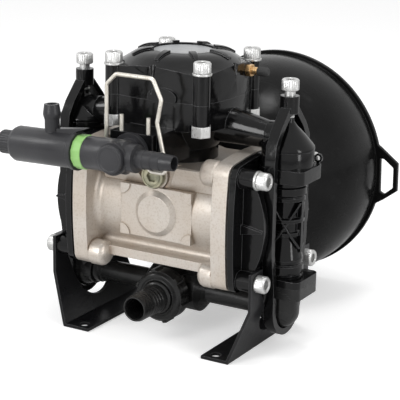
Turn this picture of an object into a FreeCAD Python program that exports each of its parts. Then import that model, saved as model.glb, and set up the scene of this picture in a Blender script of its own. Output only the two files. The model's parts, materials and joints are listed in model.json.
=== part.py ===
import FreeCAD, Part
import math
import os

os.makedirs("parts", exist_ok=True)

# Piston diaphragm pump. Millimetres, +Z up, the feet stand on Z = 0.
# X runs along the pistons, from the left head to the right head.
# The drive shaft lies along Y: its splined end points to +Y, the relief valve is on the -Y side.

V = FreeCAD.Vector
ALONG_X, ALONG_Y, ALONG_Z = V(1, 0, 0), V(0, 1, 0), V(0, 0, 1)
ORIGIN = V(0, 0, 0)
SIDES = (-1, 1)

# Overall places
axis_height = 123.0          # shaft and piston axis above the ground
bolt_pitch = 95.0            # square of the head screws
damper_pitch = 93.0          # square of the damper screws
running_fit = 0.05           # radial clearance of turning and sliding fits
seat_gap = 0.3               # clearance between curved faces that do not move

# Crankcase
barrel_radius = 46.0
flange_inner_x = 67.0
flange_thickness = 15.0
flange_outer_x = flange_inner_x + flange_thickness
lobe_radius = 11.5           # metal round each head screw
lobe_bulb_radius = 12.3      # the same behind the flange
lobe_length = 18.0
lobe_end_x = flange_inner_x - lobe_length
flange_half = bolt_pitch / 2 + lobe_radius
flange_bulge = 3.0           # how far each side swells at its middle
flange_cove = 7.0            # hollow fillet between barrel and flange
rail_drop = 48.3             # lower face of the rail below the axis
rail_height = 8.8
rail_fillet = 5.0
seat_rise = 47.0             # top seat that carries the damper body, above the axis
seat_height = axis_height + seat_rise
seat_radius = 41.0
table_setback = 7.0          # flat table round the seat, between the flanges
table_half_x = flange_inner_x - table_setback
table_front = 46.0
table_depth = 22.0
table_flare = 6.5            # how far its front leans out
pad_width, pad_height = 76.0, 49.0
pad_rise = 1.5               # pad in front of the barrel
pad_face_y = -barrel_radius - pad_rise
pad_recess = 1.4
pad_ear = 10.0               # radius of the four corners left standing
pad_boss_radius = 17.9
pad_boss_foot = 22.0
pad_boss_rise = 2.5
pad_boss_face_y = pad_face_y - pad_boss_rise
plug_boss_radius = 13.5
plug_boss_setback = 2.0      # face of the plug's boss behind the front of the barrel
plug_boss_face_y = -barrel_radius + plug_boss_setback
plug_head_radius = 11.5
plug_shank = 7.8
plug_x = -3.0                # oil filler plug, above the pad
plug_rise = 35.5
plug_height = axis_height + plug_rise
rear_face_y = 52.0
chamber_front_y = -28.0

# Screws: M10 socket heads on heads, damper and yokes, M6 on the guard
m10_shank = 4.9
m10_head_radius = 8.0
m10_head_height = 10.0
m10_socket = 8.0
m10_nut_width = 17.0
m10_nut_height = 10.0
washer_radius = 9.0
washer_thickness = 2.0
m6_shank = 2.9
m6_head_radius = 5.0
m6_head_height = 6.0
hole_gap = 0.15              # radial clearance of a screw in its hole

# Drive
piston_travel = 4.0          # half stroke, the throw of the eccentric
piston_radius = 35.0
piston_length = 25.0
piston_inner_x, piston_outer_x = flange_outer_x - piston_length, flange_outer_x
piston_wall = 5.0
piston_crown = 7.0
piston_core = 11.0
liner_wall = 3.4
liner_length = 37.0
liner_inner_x = flange_outer_x - liner_length
disc_screw_shank = 4.0
disc_screw_hole = disc_screw_shank + 0.2
clamp_disc_radius, clamp_disc_height = 20.0, 3.0
eccentric_radius = 17.5
eccentric_half_width = 12.0
journal_core = 11.0          # what is left of the shaft under the journal
ring_outer_radius = 24.0
yoke_half_width = 8.0        # along Y
yoke_clearance = 1.6         # upper edge of the piston yoke below the bore of the liner
yoke_half_height = piston_radius - yoke_clearance
shaft_body_radius = 16.0
front_bearing_bore, front_bearing_radius, front_bearing_width = 12.5, 23.5, 12.0
rear_bearing_bore, rear_bearing_radius, rear_bearing_width = 15.0, 31.0, 16.0
bearing_race = 3.6           # radial thickness of a bearing ring
bearing_cup = 3.0            # wall of the cover round the rear bearing
chamber_radius = rear_bearing_radius + bearing_cup
guard_screw_circle = chamber_radius + 4.5
rear_boss_radius = guard_screw_circle + 6.5
cover_thickness = 8.0
seal_radius, seal_width = 26.0, 7.0
seal_shaft_radius = 17.0
spline_radius, spline_root, spline_teeth = 17.4, 14.8, 6
spline_width = 8.6
spline_setback, spline_length = 22.0, 78.0
spline_start_y = rear_face_y + spline_setback
shaft_end_y = spline_start_y + spline_length

# Heads
diaphragm_thickness = 2.0
diaphragm_margin = 3.0
diaphragm_radius = flange_half - diaphragm_margin
head_flange = 6.0
head_flange_x = flange_outer_x + diaphragm_thickness + head_flange
chamber_rim_radius = 41.0
chamber_floor_radius = 24.0
chamber_depth = 9.0
chamber_floor_x = head_flange_x + chamber_depth
head_block, cheek_reach, boss_length = 13.0, 22.0, 15.0
head_block_x = head_flange_x + head_block
cheek_x = head_flange_x + cheek_reach
cheek_outer_y, cheek_thickness = 44.5, 7.5
cheek_inner_y = cheek_outer_y - cheek_thickness
cheek_half_height = 42.0
boss_radius = 9.0
boss_end_x = head_flange_x + boss_length
tower_offset = 20.5
tower_x = head_flange_x + tower_offset   # centre of the valve towers, left and right
head_rise, head_drop = 53.0, 57.0
head_top_z = axis_height + head_rise
head_bottom_z = axis_height - head_drop
tower_bore = 11.0
tower_shell = 17.3           # radius that the crossed ribs reach
tower_flange_radius = 25.0
tower_flange = 14.0
tower_flange_bottom_z = head_top_z - tower_flange
ear_reach, ear_side, ear_radius = 19.0, 15.5, 6.5   # rounded outer corners of the tower flanges

# Valves
valve_lift = 3.0
valve_plate_radius = 9.0
valve_plate_thickness = 2.0
valve_seat_height = 5.0
valve_seat_bore = 6.5
valve_cage_height = 3.0
suction_seat_rise, delivery_seat_drop = 1.0, 24.0
suction_seat_z = head_bottom_z + suction_seat_rise
delivery_seat_z = head_top_z - delivery_seat_drop
spring_wire = 0.6

# Delivery side
elbow_radius = 24.0
elbow_shoulder, elbow_cone = 20.0, 23.0
elbow_shoulder_z = head_top_z + elbow_shoulder
elbow_nose_z = elbow_shoulder_z + elbow_cone
elbow_nose_radius = 4.5
arm_setback = 18.5           # end of the arm beside the tower's axis
arm_end_x = tower_x - arm_setback
arm_end_radius, arm_root_radius = 12.5, 20.0
arm_rise, arm_fall = 25.0, 7.0
arm_end_z = head_top_z + arm_rise
arm_root_z = arm_end_z + arm_fall
damper_foot_radius = 34.0
bowl_rise, bowl_depth = 35.0, 26.0
damper_bowl_z = seat_height + bowl_rise
damper_joint_z = damper_bowl_z + bowl_depth
damper_edge = 3.5
damper_half = damper_pitch / 2 + damper_edge
damper_bulge = 5.0
damper_corner = damper_edge + 6.0
damper_boss_radius = 7.8
damper_boss_drop, damper_boss_rise = 19.0, 26.5
damper_boss_bottom_z = damper_joint_z - damper_boss_drop
damper_boss_top_z = damper_joint_z + damper_boss_rise
damper_wall = 6.0
membrane_radius, membrane_thickness = damper_half - damper_wall, 2.5
dome_rise = 41.0
dome_top_z = damper_joint_z + dome_rise
disc_radius = 29.0
disc_thickness = 1.6
disc_depth = 4.5             # recess of the disc in the crown
dome_ribs = 8
dome_rib_rise = 2.0
flute_radius = 4.8           # groove in the middle of each wall of the cap
air_valve_reach = 4.2
air_valve_seat_x = damper_half + air_valve_reach
air_valve_y = 24.0
air_valve_rise = 21.5
air_valve_z = damper_joint_z + air_valve_rise

# Suction side
suction_drop = 26.0
suction_z = head_bottom_z - suction_drop
suction_elbow_radius = 16.0
suction_flange = 11.0
suction_flange_top_z = head_bottom_z
suction_flange_bottom_z = suction_flange_top_z - suction_flange
suction_flange_x, suction_flange_y = 15.0, 22.0
socket_setback = 16.5
socket_end_x = tower_x - socket_setback
manifold_arm_radius = 10.5
manifold_collar_radius = 12.8
manifold_body_radius = 20.5
manifold_body_half = 26.0
manifold_wall = 3.0
port_radius = 17.0
port_bore = 11.0
port_face_y = -27.0
nut_length = 15.0
nut_front_y = port_face_y - nut_length
nut_radius, nut_face_radius = 24.5, 21.8
nut_lug = 1.8
tail_length = 40.0
tail_end_y = nut_front_y - tail_length
tail_radius = 12.7
tail_bore = 10.2

# Yokes: stirrups that clamp elbow, tower and suction elbow together
strap_width = 10.0           # along X
strap_thickness = 6.0
strap_upper_half = 35.0
strap_lower_half = 28.5
strap_drop = 25.5
strap_bottom_z = suction_z - strap_drop
yoke_nose_gap, yoke_boss_height, yoke_screw_rise = 5.0, 15.5, 5.0
yoke_boss_bottom_z = elbow_nose_z + yoke_nose_gap
yoke_boss_top_z = yoke_boss_bottom_z + yoke_boss_height
yoke_boss_radius = 8.6
yoke_screw_head_z = yoke_boss_top_z + yoke_screw_rise

# Feet: bent sheet clamped by the lower head screws
sheet = 3.0
foot_bend_z = 50.0
foot_slant = 17.7            # how far the web leans in
foot_heel_x = boss_end_x + sheet - foot_slant   # outer edge on the ground
foot_toe = 28.3
foot_toe_x = foot_heel_x - foot_toe
foot_half_width = 66.0
foot_top_half_width = 58.0
foot_hole_from_toe, foot_hole_from_side = 10.5, 9.5
foot_hole_x, foot_hole_y = foot_toe_x + foot_hole_from_toe, foot_half_width - foot_hole_from_side
foot_hole_radius = 5.0
cutout_radius = 31.0
cutout_z = 46.0

# Relief valve, in front of the damper body
relief_y = -108.0
relief_rise = 20.0
relief_z = seat_height + relief_rise
relief_tilt = 1.6            # degrees, the valve has turned in its socket
relief_radius = 16.2
relief_right_x, relief_length = -42.0, 69.0
relief_left_x = relief_right_x - relief_length
knob_radius, knob_length = 11.0, 18.0
knob_end_x = relief_left_x - knob_length
band_radius, band_width = 15.6, 10.0
band_left_x, band_right_x = relief_right_x, relief_right_x + band_width
tee_radius = 15.2
tee_shoulder_x = 9.0
tee_flange_radius, tee_flange = 12.7, 10.0
tee_flange_x = tee_shoulder_x + tee_flange
outlet_radius, outlet_length, outlet_bore = 8.3, 37.0, 5.6
outlet_end_x = tee_flange_x + outlet_length
relief_bore = 7.0
poppet_lift = 3.0
front_boss = 17.0
plug_front_y = relief_y - front_boss
plug_radius, plug_rim = 12.7, 2.1
return_x, return_radius, return_height, return_bore = -71.0, 6.8, 40.0, 4.5
return_top_z = relief_z + return_height
coupling_half_width, coupling_reach = 23.5, 21.0
coupling_front_y = relief_y + coupling_reach
coupling_above, coupling_below = 17.0, 14.2
coupling_top_z, coupling_bottom_z = relief_z + coupling_above, relief_z - coupling_below
collar_radius = 17.5
spigot_radius = 14.0
relief_passage = 5.2         # radius of the channel from the damper to the relief valve
groove_radius = 11.6

# Fork of steel wire
wire_radius = 1.9
fork_setback = 4.0
fork_y = coupling_front_y + fork_setback
fork_pin_x = groove_radius + wire_radius + 0.5
fork_guide_x = 20.6          # step in the socket's side that lets the bent leg of the fork pass
fork_tip, fork_loop = 12.0, 50.0
fork_tip_z = coupling_top_z + fork_tip
fork_leg_x = 30.0
fork_top_z = coupling_top_z + fork_loop

# Guard
guard_inner_radius = 30.0
guard_floor_radius = 47.0
guard_rim_radius = 112.5
guard_lip = 4.0
guard_lip_radius = guard_rim_radius + guard_lip
guard_end_y = 207.0
guard_wall = 3.0
guard_ear = 19.0             # how far the side ear reaches beyond the lip


def rod(radius, start, end):
    """Solid cylinder from one point to another."""
    direction = end - start
    return Part.makeCylinder(radius, direction.Length, start, direction)


def tube(outer, inner, start, end):
    """Pipe between two points."""
    step = (end - start).normalize()
    return rod(outer, start, end).cut(rod(inner, start - step, end + step))


def block(x_low, x_high, y_low, y_high, z_low, z_high):
    """Box between its limits."""
    return Part.makeBox(x_high - x_low, y_high - y_low, z_high - z_low, V(x_low, y_low, z_low))


def prism(points, direction):
    """Straight extrusion of a closed outline of points."""
    return Part.Face(Part.makePolygon(points + points[:1])).extrude(direction)


def turned(profile, base, axis):
    """Body of revolution: profile holds (radius, distance along the axis) pairs, closed on the axis."""
    points = [V(0, 0, profile[0][1])] + [V(r, 0, d) for r, d in profile] + [V(0, 0, profile[-1][1])]
    solid = Part.Face(Part.makePolygon(points + points[:1])).revolve(ORIGIN, ALONG_Z, 360)
    solid.Placement = FreeCAD.Placement(base, FreeCAD.Rotation(ALONG_Z, axis))
    return solid


def mirrored(shape):
    """The same piece on the left side."""
    return shape.mirror(ORIGIN, ALONG_X)


def joined(shapes):
    """One solid of several that touch or overlap."""
    return shapes[0].multiFuse(shapes[1:]).removeSplitter()


def swollen_square(half, bulge, corner):
    """Outline wire in the local XY plane: a square with swelling sides and round corners."""
    edges = []
    inner = half - corner
    for turn in range(4):
        angle = math.radians(90 * turn)

        def place(u, v):
            return V(u * math.cos(angle) - v * math.sin(angle), u * math.sin(angle) + v * math.cos(angle), 0)

        edges.append(Part.Arc(place(half, -inner), place(half + bulge, 0), place(half, inner)).toShape())
        middle = inner + corner * math.sqrt(0.5)
        edges.append(Part.Arc(place(half, inner), place(middle, middle), place(inner, half)).toShape())
    return Part.Wire(edges)


def swollen_plate(half, bulge, corner, base, axis, thickness):
    """Plate with the swollen square outline, from its base along an axis."""
    plate = Part.Face(swollen_square(half, bulge, corner)).extrude(V(0, 0, thickness))
    plate.Placement = FreeCAD.Placement(base, FreeCAD.Rotation(ALONG_Z, axis))
    return plate


def socket_screw(seat, direction, length, shank, head_radius, head_height, socket):
    """Socket head screw: the head stands on its seat, the shank runs from it along the direction."""
    head = rod(head_radius, seat, seat - direction * head_height)
    hexagon = [V(socket / math.sqrt(3) * math.cos(math.radians(60 * k)),
                 socket / math.sqrt(3) * math.sin(math.radians(60 * k)), 0) for k in range(6)]
    recess = prism(hexagon, V(0, 0, head_height * 0.55))
    recess.Placement = FreeCAD.Placement(seat - direction * head_height, FreeCAD.Rotation(ALONG_Z, direction))
    return head.fuse(rod(shank, seat, seat + direction * length)).cut(recess)


def m10_screw(seat, direction, length):
    """M10 socket head screw."""
    return socket_screw(seat, direction, length, m10_shank, m10_head_radius, m10_head_height, m10_socket)


def bolt_corners(pitch):
    """The four corners of a square screw pattern."""
    return [(u * pitch / 2, v * pitch / 2) for u in SIDES for v in SIDES]


def coil_spring(radius, wire, start, length, turns, axis):
    """Compression spring of round wire."""
    helix = Part.makeHelix(length / turns, length, radius)
    section = Part.Wire([Part.Circle(V(radius, 0, 0), ALONG_Y, wire).toShape()])
    spring = Part.Wire(helix.Edges).makePipeShell([section], True, True)
    spring.Placement = FreeCAD.Placement(start, FreeCAD.Rotation(ALONG_Z, axis))
    return spring


# Crankcase and its rear cover

def crankcase():
    """Barrel with two lobed flanges, front pad, top seat and the rear boss of the shaft."""
    axis = V(0, 0, axis_height)
    body = [rod(barrel_radius, V(-flange_outer_x, 0, axis_height), V(flange_outer_x, 0, axis_height))]
    rail_bottom = axis_height - rail_drop
    body.append(block(-flange_inner_x, flange_inner_x, -barrel_radius, barrel_radius,
                      rail_bottom, rail_bottom + rail_height))
    body += rail_fillets(rail_bottom + rail_height)
    body.append(rod(seat_radius, V(0, 0, axis_height), V(0, 0, seat_height)))
    body.append(top_table())
    body.append(rod(rear_boss_radius, axis, V(0, rear_face_y, axis_height)))
    body.append(block(-pad_width / 2, pad_width / 2, pad_face_y, -barrel_radius * 0.6,
                      axis_height - pad_height / 2, axis_height + pad_height / 2))
    plug_boss = rod(plug_boss_radius, V(plug_x, plug_boss_face_y, plug_height), V(plug_x, -10, plug_height))
    body.append(plug_boss.cut(block(plug_x - 30, plug_x + 30, plug_boss_face_y - 1, 0, seat_height,
                                    plug_height + plug_boss_radius + 20)))
    for side in SIDES:
        body.append(swollen_plate(flange_half, flange_bulge, lobe_radius, V(side * flange_inner_x, 0, axis_height),
                                  V(side, 0, 0), flange_outer_x - flange_inner_x))
        body.append(barrel_cove(side))
        for y, z in bolt_corners(bolt_pitch):
            nose = [(lobe_bulb_radius * math.sin(math.radians(a)),
                     lobe_end_x + lobe_bulb_radius * 0.6 * (1 - math.cos(math.radians(a)))) for a in (25, 50, 72, 90)]
            lobe = turned(nose + [(lobe_bulb_radius, flange_inner_x - 1), (lobe_radius, flange_inner_x),
                                  (lobe_radius, flange_outer_x)],
                          V(0, y, axis_height + z), V(side, 0, 0))
            body.append(lobe)
    solid = joined(body)
    solid = solid.cut(pad_hollow()).fuse(pad_boss())
    liner_pocket = piston_radius + liner_wall + 2 * running_fit
    cuts = [rod(plug_head_radius + 0.8, V(plug_x, pad_face_y - 1, plug_height),
                V(plug_x, plug_boss_face_y, plug_height)),
            rod(piston_radius + running_fit, V(-liner_inner_x, 0, axis_height), V(liner_inner_x, 0, axis_height)),
            rod(chamber_radius, V(0, chamber_front_y, axis_height), V(0, rear_face_y + 1, axis_height)),
            rod(front_bearing_radius + running_fit, V(0, chamber_front_y - front_bearing_width, axis_height),
                V(0, chamber_front_y + 1, axis_height)),
            rod(plug_shank + 0.2, V(plug_x, plug_boss_face_y - 1, plug_height), V(plug_x, 0, plug_height)),
            rod(seat_radius, V(0, 0, seat_height), V(0, 0, seat_height + 2 * barrel_radius))]
    for side in SIDES:
        cuts.append(rod(liner_pocket, V(side * liner_inner_x, 0, axis_height),
                        V(side * (flange_outer_x + 1), 0, axis_height)))
        for y, z in bolt_corners(bolt_pitch):
            cuts.append(rod(m10_shank + hole_gap, V(side * (lobe_end_x + 2), y, axis_height + z),
                            V(side * (flange_outer_x + 1), y, axis_height + z)))
    for x, z in guard_screw_places():
        cuts.append(rod(m6_shank + hole_gap, V(x, rear_face_y - 14, z), V(x, rear_face_y + 1, z)))
    return solid.cut(Part.makeCompound(cuts))


def barrel_cove(side):
    """Hollow fillet all round between the barrel and a flange."""
    start, end = V(side * (flange_inner_x - flange_cove), 0, axis_height), V(side * (flange_inner_x + 1), 0, axis_height)
    ring = tube(barrel_radius + flange_cove, barrel_radius - 2, start, end)
    return ring.cut(Part.makeTorus(barrel_radius + flange_cove, flange_cove, start, ALONG_X))


def rail_fillets(rail_top):
    """Hollow fillets between the barrel and the rail, front and rear."""
    centre_z = rail_top + rail_fillet
    reach = barrel_radius + rail_fillet
    centre_y = math.sqrt(reach ** 2 - (axis_height - centre_z) ** 2)
    share = barrel_radius / reach
    upper = V(-flange_inner_x, centre_y * share, axis_height - (axis_height - centre_z) * share)
    lower = V(-flange_inner_x, centre_y, rail_top)
    centre = V(-flange_inner_x, centre_y, centre_z)
    middle = centre + ((upper - centre) + (lower - centre)).normalize() * rail_fillet
    root = V(-flange_inner_x, centre_y * 0.75, rail_top - 1)
    edges = [Part.Arc(upper, middle, lower).toShape(), Part.LineSegment(lower, lower + V(0, 0, -1)).toShape(),
             Part.LineSegment(lower + V(0, 0, -1), root).toShape(), Part.LineSegment(root, upper).toShape()]
    front = Part.Face(Part.Wire(edges)).extrude(V(2 * flange_inner_x, 0, 0))
    return [front, front.mirror(ORIGIN, ALONG_Y)]


def top_table():
    """Flat table round the seat, its front and rear leaning out, with a bay round the filler plug."""
    low, lip = seat_height - table_depth, 1.5
    section = [V(-table_half_x, -table_front + table_flare, low), V(-table_half_x, -table_front, seat_height - lip),
               V(-table_half_x, -table_front + lip, seat_height), V(-table_half_x, table_front - lip, seat_height),
               V(-table_half_x, table_front, seat_height - lip), V(-table_half_x, table_front - table_flare, low)]
    table = prism(section, V(2 * table_half_x, 0, 0))
    foot, mouth = plug_head_radius + 1.5, plug_head_radius + 13.5
    bay = prism([V(plug_x - foot, -table_front - 1, low - 1), V(plug_x + foot, -table_front - 1, low - 1),
                 V(plug_x + mouth, -table_front - 1, seat_height + 1),
                 V(plug_x - mouth, -table_front - 1, seat_height + 1)], V(0, table_front, 0))
    return table.cut(bay)


def pad_hollow():
    """Shallow hollow of the front pad, with its round corners left standing."""
    half_x, half_z = pad_width / 2, pad_height / 2
    floor_y = pad_face_y + pad_recess
    hollow = block(-half_x - 1, half_x + 1, pad_face_y - 1, floor_y, axis_height - half_z - 1, axis_height + half_z + 1)
    ears = [rod(pad_ear, V(u * half_x, pad_face_y - 2, axis_height + v * half_z),
                V(u * half_x, floor_y + 1, axis_height + v * half_z)) for u in SIDES for v in SIDES]
    keep = block(-half_x, half_x, pad_face_y - 2, floor_y + 1, axis_height - half_z, axis_height + half_z)
    return hollow.common(keep).cut(Part.makeCompound(ears))


def pad_boss():
    """Round boss in the middle of the pad, on a sloping shoulder."""
    return turned([(pad_boss_radius - 0.8, pad_boss_face_y), (pad_boss_radius, pad_boss_face_y + 0.7),
                   (pad_boss_foot, pad_face_y + pad_recess), (pad_boss_foot, pad_face_y + 3)],
                  V(0, 0, axis_height), ALONG_Y)


def guard_screw_places():
    """Four places round the shaft, on the diagonals."""
    reach = guard_screw_circle * math.sqrt(0.5)
    return [(u * reach, axis_height + v * reach) for u in SIDES for v in SIDES]


def rear_cover():
    """Cover with the rear bearing seat in its spigot and the seal seat behind it."""
    spigot_start = rear_face_y - rear_bearing_width - 2
    cover = turned([(chamber_radius - running_fit, spigot_start), (chamber_radius - running_fit, rear_face_y),
                    (rear_boss_radius, rear_face_y), (rear_boss_radius, rear_face_y + cover_thickness)],
                   V(0, 0, axis_height), ALONG_Y)
    bearing_end = spigot_start + rear_bearing_width
    cuts = [rod(rear_bearing_radius + running_fit, V(0, spigot_start - 1, axis_height),
                V(0, bearing_end, axis_height)),
            rod(seal_radius + running_fit, V(0, bearing_end - 1, axis_height),
                V(0, bearing_end + seal_width, axis_height)),
            rod(seal_shaft_radius + 2, V(0, bearing_end, axis_height),
                V(0, rear_face_y + cover_thickness + 1, axis_height))]
    for x, z in guard_screw_places():
        cuts.append(rod(m6_shank + hole_gap, V(x, rear_face_y - 1, z), V(x, rear_face_y + cover_thickness + 1, z)))
    return cover.cut(Part.makeCompound(cuts))


def rear_bearing_start():
    """Inner face of the rear bearing."""
    return rear_face_y - rear_bearing_width - 2


def sealed_bearing(bore, outer, width, start_y):
    """Outer ring with its two shields, all that stands still of a sealed ball bearing."""
    ring = tube(outer, outer - bearing_race, V(0, start_y, axis_height), V(0, start_y + width, axis_height))
    shields = [tube(outer - bearing_race + 0.2, bore + bearing_race + 0.3, V(0, y, axis_height),
                    V(0, y + 1, axis_height)) for y in (start_y + 0.5, start_y + width - 1.5)]
    return joined([ring] + shields)


def bearing_inner_rings():
    """Inner rings of both bearings, which turn with the shaft."""
    places = ((front_bearing_bore, front_bearing_width, chamber_front_y - front_bearing_width),
              (rear_bearing_bore, rear_bearing_width, rear_bearing_start()))
    return Part.makeCompound([tube(bore + bearing_race, bore + running_fit, V(0, y + 0.2, axis_height),
                                   V(0, y + width - 0.2, axis_height)) for bore, width, y in places])


def shaft_seal():
    """Lip seal between cover and shaft."""
    start = rear_bearing_start() + rear_bearing_width
    return tube(seal_radius, seal_shaft_radius + 2 * running_fit, V(0, start + 0.3, axis_height),
                V(0, start + seal_width, axis_height))


# Drive

def drive_shaft():
    """Shaft with its eccentric journal and the six splines of the driven end."""
    front = chamber_front_y - front_bearing_width + 0.5
    rear = rear_bearing_start()
    seal_start = rear + rear_bearing_width
    axle = turned([(front_bearing_bore, front), (front_bearing_bore, chamber_front_y + 0.5),
                   (shaft_body_radius, chamber_front_y + 0.5), (shaft_body_radius, rear - 0.2),
                   (rear_bearing_bore, rear - 0.2), (rear_bearing_bore, seal_start),
                   (seal_shaft_radius, seal_start), (seal_shaft_radius, spline_start_y),
                   (spline_root, spline_start_y), (spline_root, shaft_end_y)], V(0, 0, axis_height), ALONG_Y)
    journal = rod(eccentric_radius, V(0, -eccentric_half_width, axis_height + piston_travel),
                  V(0, eccentric_half_width, axis_height + piston_travel))
    relief = tube(shaft_body_radius + 10, journal_core, V(0, -eccentric_half_width, axis_height),
                  V(0, eccentric_half_width, axis_height))
    solid = axle.cut(relief).fuse(journal)
    teeth = []
    for k in range(spline_teeth):
        tooth = block(spline_root - 1.5, spline_radius, spline_start_y + 3, shaft_end_y - 1.5,
                      -spline_width / 2, spline_width / 2)
        tooth.rotate(ORIGIN, ALONG_Y, 360 / spline_teeth * k)
        tooth.translate(V(0, 0, axis_height))
        teeth.append(tooth)
    return solid.multiFuse(teeth)


def eccentric_ring():
    """Needle bearing ring on the eccentric, which pushes the yoke."""
    centre = axis_height + piston_travel
    return tube(ring_outer_radius, eccentric_radius + running_fit, V(0, -yoke_half_width, centre),
                V(0, yoke_half_width, centre))


def piston_yoke():
    """Sliding frame between the pistons, with the window for the eccentric ring."""
    frame = block(-piston_inner_x, piston_inner_x, -yoke_half_width, yoke_half_width,
                  axis_height - yoke_half_height, axis_height + yoke_half_height)
    window_x = ring_outer_radius + 2 * piston_travel + seat_gap
    window_z = ring_outer_radius + piston_travel + seat_gap
    window = block(-window_x, window_x, -yoke_half_width - 1, yoke_half_width + 1,
                   axis_height - window_z, axis_height + window_z)
    return frame.cut(window)


def pistons():
    """Two light alloy pistons, hollow towards the yoke."""
    piston = rod(piston_radius, V(piston_inner_x, 0, axis_height), V(piston_outer_x, 0, axis_height))
    hollow = tube(piston_radius - piston_wall, piston_core, V(piston_inner_x - 1, 0, axis_height),
                  V(piston_outer_x - piston_crown, 0, axis_height))
    right = piston.cut(hollow).cut(rod(disc_screw_hole, V(piston_inner_x - 1, 0, axis_height),
                                       V(piston_outer_x + 1, 0, axis_height)))
    return Part.makeCompound([right, mirrored(right)])


def cylinder_liners():
    """Two sleeves that the pistons run in."""
    right = tube(piston_radius + liner_wall, piston_radius + running_fit, V(liner_inner_x, 0, axis_height),
                 V(flange_outer_x, 0, axis_height))
    return Part.makeCompound([right, mirrored(right)])


def right_diaphragm():
    """Rubber disc clamped between crankcase flange and head."""
    return tube(diaphragm_radius, disc_screw_hole, V(flange_outer_x, 0, axis_height),
                V(flange_outer_x + diaphragm_thickness, 0, axis_height))


def clamp_discs():
    """Discs that press the diaphragms on the pistons."""
    start = flange_outer_x + diaphragm_thickness
    right = turned([(clamp_disc_radius, start), (clamp_disc_radius, start + clamp_disc_height / 2),
                    (clamp_disc_radius * 0.75, start + clamp_disc_height)], V(0, 0, axis_height), ALONG_X)
    right = right.cut(rod(disc_screw_hole, V(start - 1, 0, axis_height),
                          V(start + clamp_disc_height + 1, 0, axis_height)))
    return Part.makeCompound([right, mirrored(right)])


def disc_screws():
    """Screws through clamp disc, diaphragm and piston."""
    seat = flange_outer_x + diaphragm_thickness + clamp_disc_height
    right = socket_screw(V(seat, 0, axis_height), V(-1, 0, 0), seat - piston_inner_x, disc_screw_shank,
                         disc_screw_shank + 2.5, 4.0, 6.0)
    return Part.makeCompound([right, mirrored(right)])


# Heads with their valve towers

def cheek_profile(reach, half_height):
    """Side outline of the head: flat on the flange, round outside."""
    low, high = axis_height - half_height, axis_height + half_height
    shoulder = head_flange_x + (reach - head_flange_x) * 0.5
    start = V(head_flange_x - 1, 0, low)
    outline = [Part.LineSegment(start, V(shoulder, 0, low)).toShape(),
               Part.Arc(V(shoulder, 0, low), V(reach, 0, axis_height), V(shoulder, 0, high)).toShape(),
               Part.LineSegment(V(shoulder, 0, high), V(head_flange_x - 1, 0, high)).toShape(),
               Part.LineSegment(V(head_flange_x - 1, 0, high), start).toShape()]
    return Part.Face(Part.Wire(outline))


def tower_profile():
    """Half outline of the valve tower: rings, cone, waist, necks and the top flange."""
    lower = [(17.5, 0), (17.5, 7), (16, 8), (16, 9), (18, 10), (18, 17), (16.2, 18.5), (17, 20), (17, 24), (14.5, 29)]
    waist = [(12.5, -12), (15.5, -11), (15.5, -8), (13, -7), (13, 1), (17.5, 2), (17.5, 5), (13, 6)]
    upper = [(13, -18), (18, -17), (18, -14), (17, -13), (18.8, -11), (18.8, -5), (17.2, -3.5), (17.2, 0)]
    profile = [(r, head_bottom_z + d) for r, d in lower] + [(r, axis_height + d) for r, d in waist]
    profile += [(r, tower_flange_bottom_z + d) for r, d in upper]
    return profile + [(tower_flange_radius, tower_flange_bottom_z + 1.5), (tower_flange_radius, head_top_z)]


def tower_web():
    """Outer web of the tower between its collar and its top flange."""
    low, high = head_bottom_z + 30, tower_flange_bottom_z - 15
    return block(tower_x, tower_x + tower_shell, -2, 2, low, high)


def flange_corners(low, high):
    """Rounded outer corners of a tower flange."""
    corners = [rod(ear_radius, V(tower_x + ear_reach, side * ear_side, low), V(tower_x + ear_reach, side * ear_side, high))
               for side in SIDES]
    outer = ear_side + ear_radius
    return corners + [block(tower_x, tower_x + ear_reach, -outer, outer, low, high),
                      block(tower_x, tower_x + ear_reach + ear_radius, -ear_side, ear_side, low, high)]


def flange_eye():
    """Small eye standing on the rear corner of the top flange."""
    centre = V(tower_x + ear_reach + 3, ear_side + 1.5, head_top_z + 5.5)
    ring = tube(4.0, 2.2, centre, centre + V(0, 2.5, 0))
    return ring.fuse(block(centre.x - 1.5, centre.x + 1.5, centre.y, centre.y + 2.5, head_top_z - 1, centre.z - 2.8))


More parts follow.
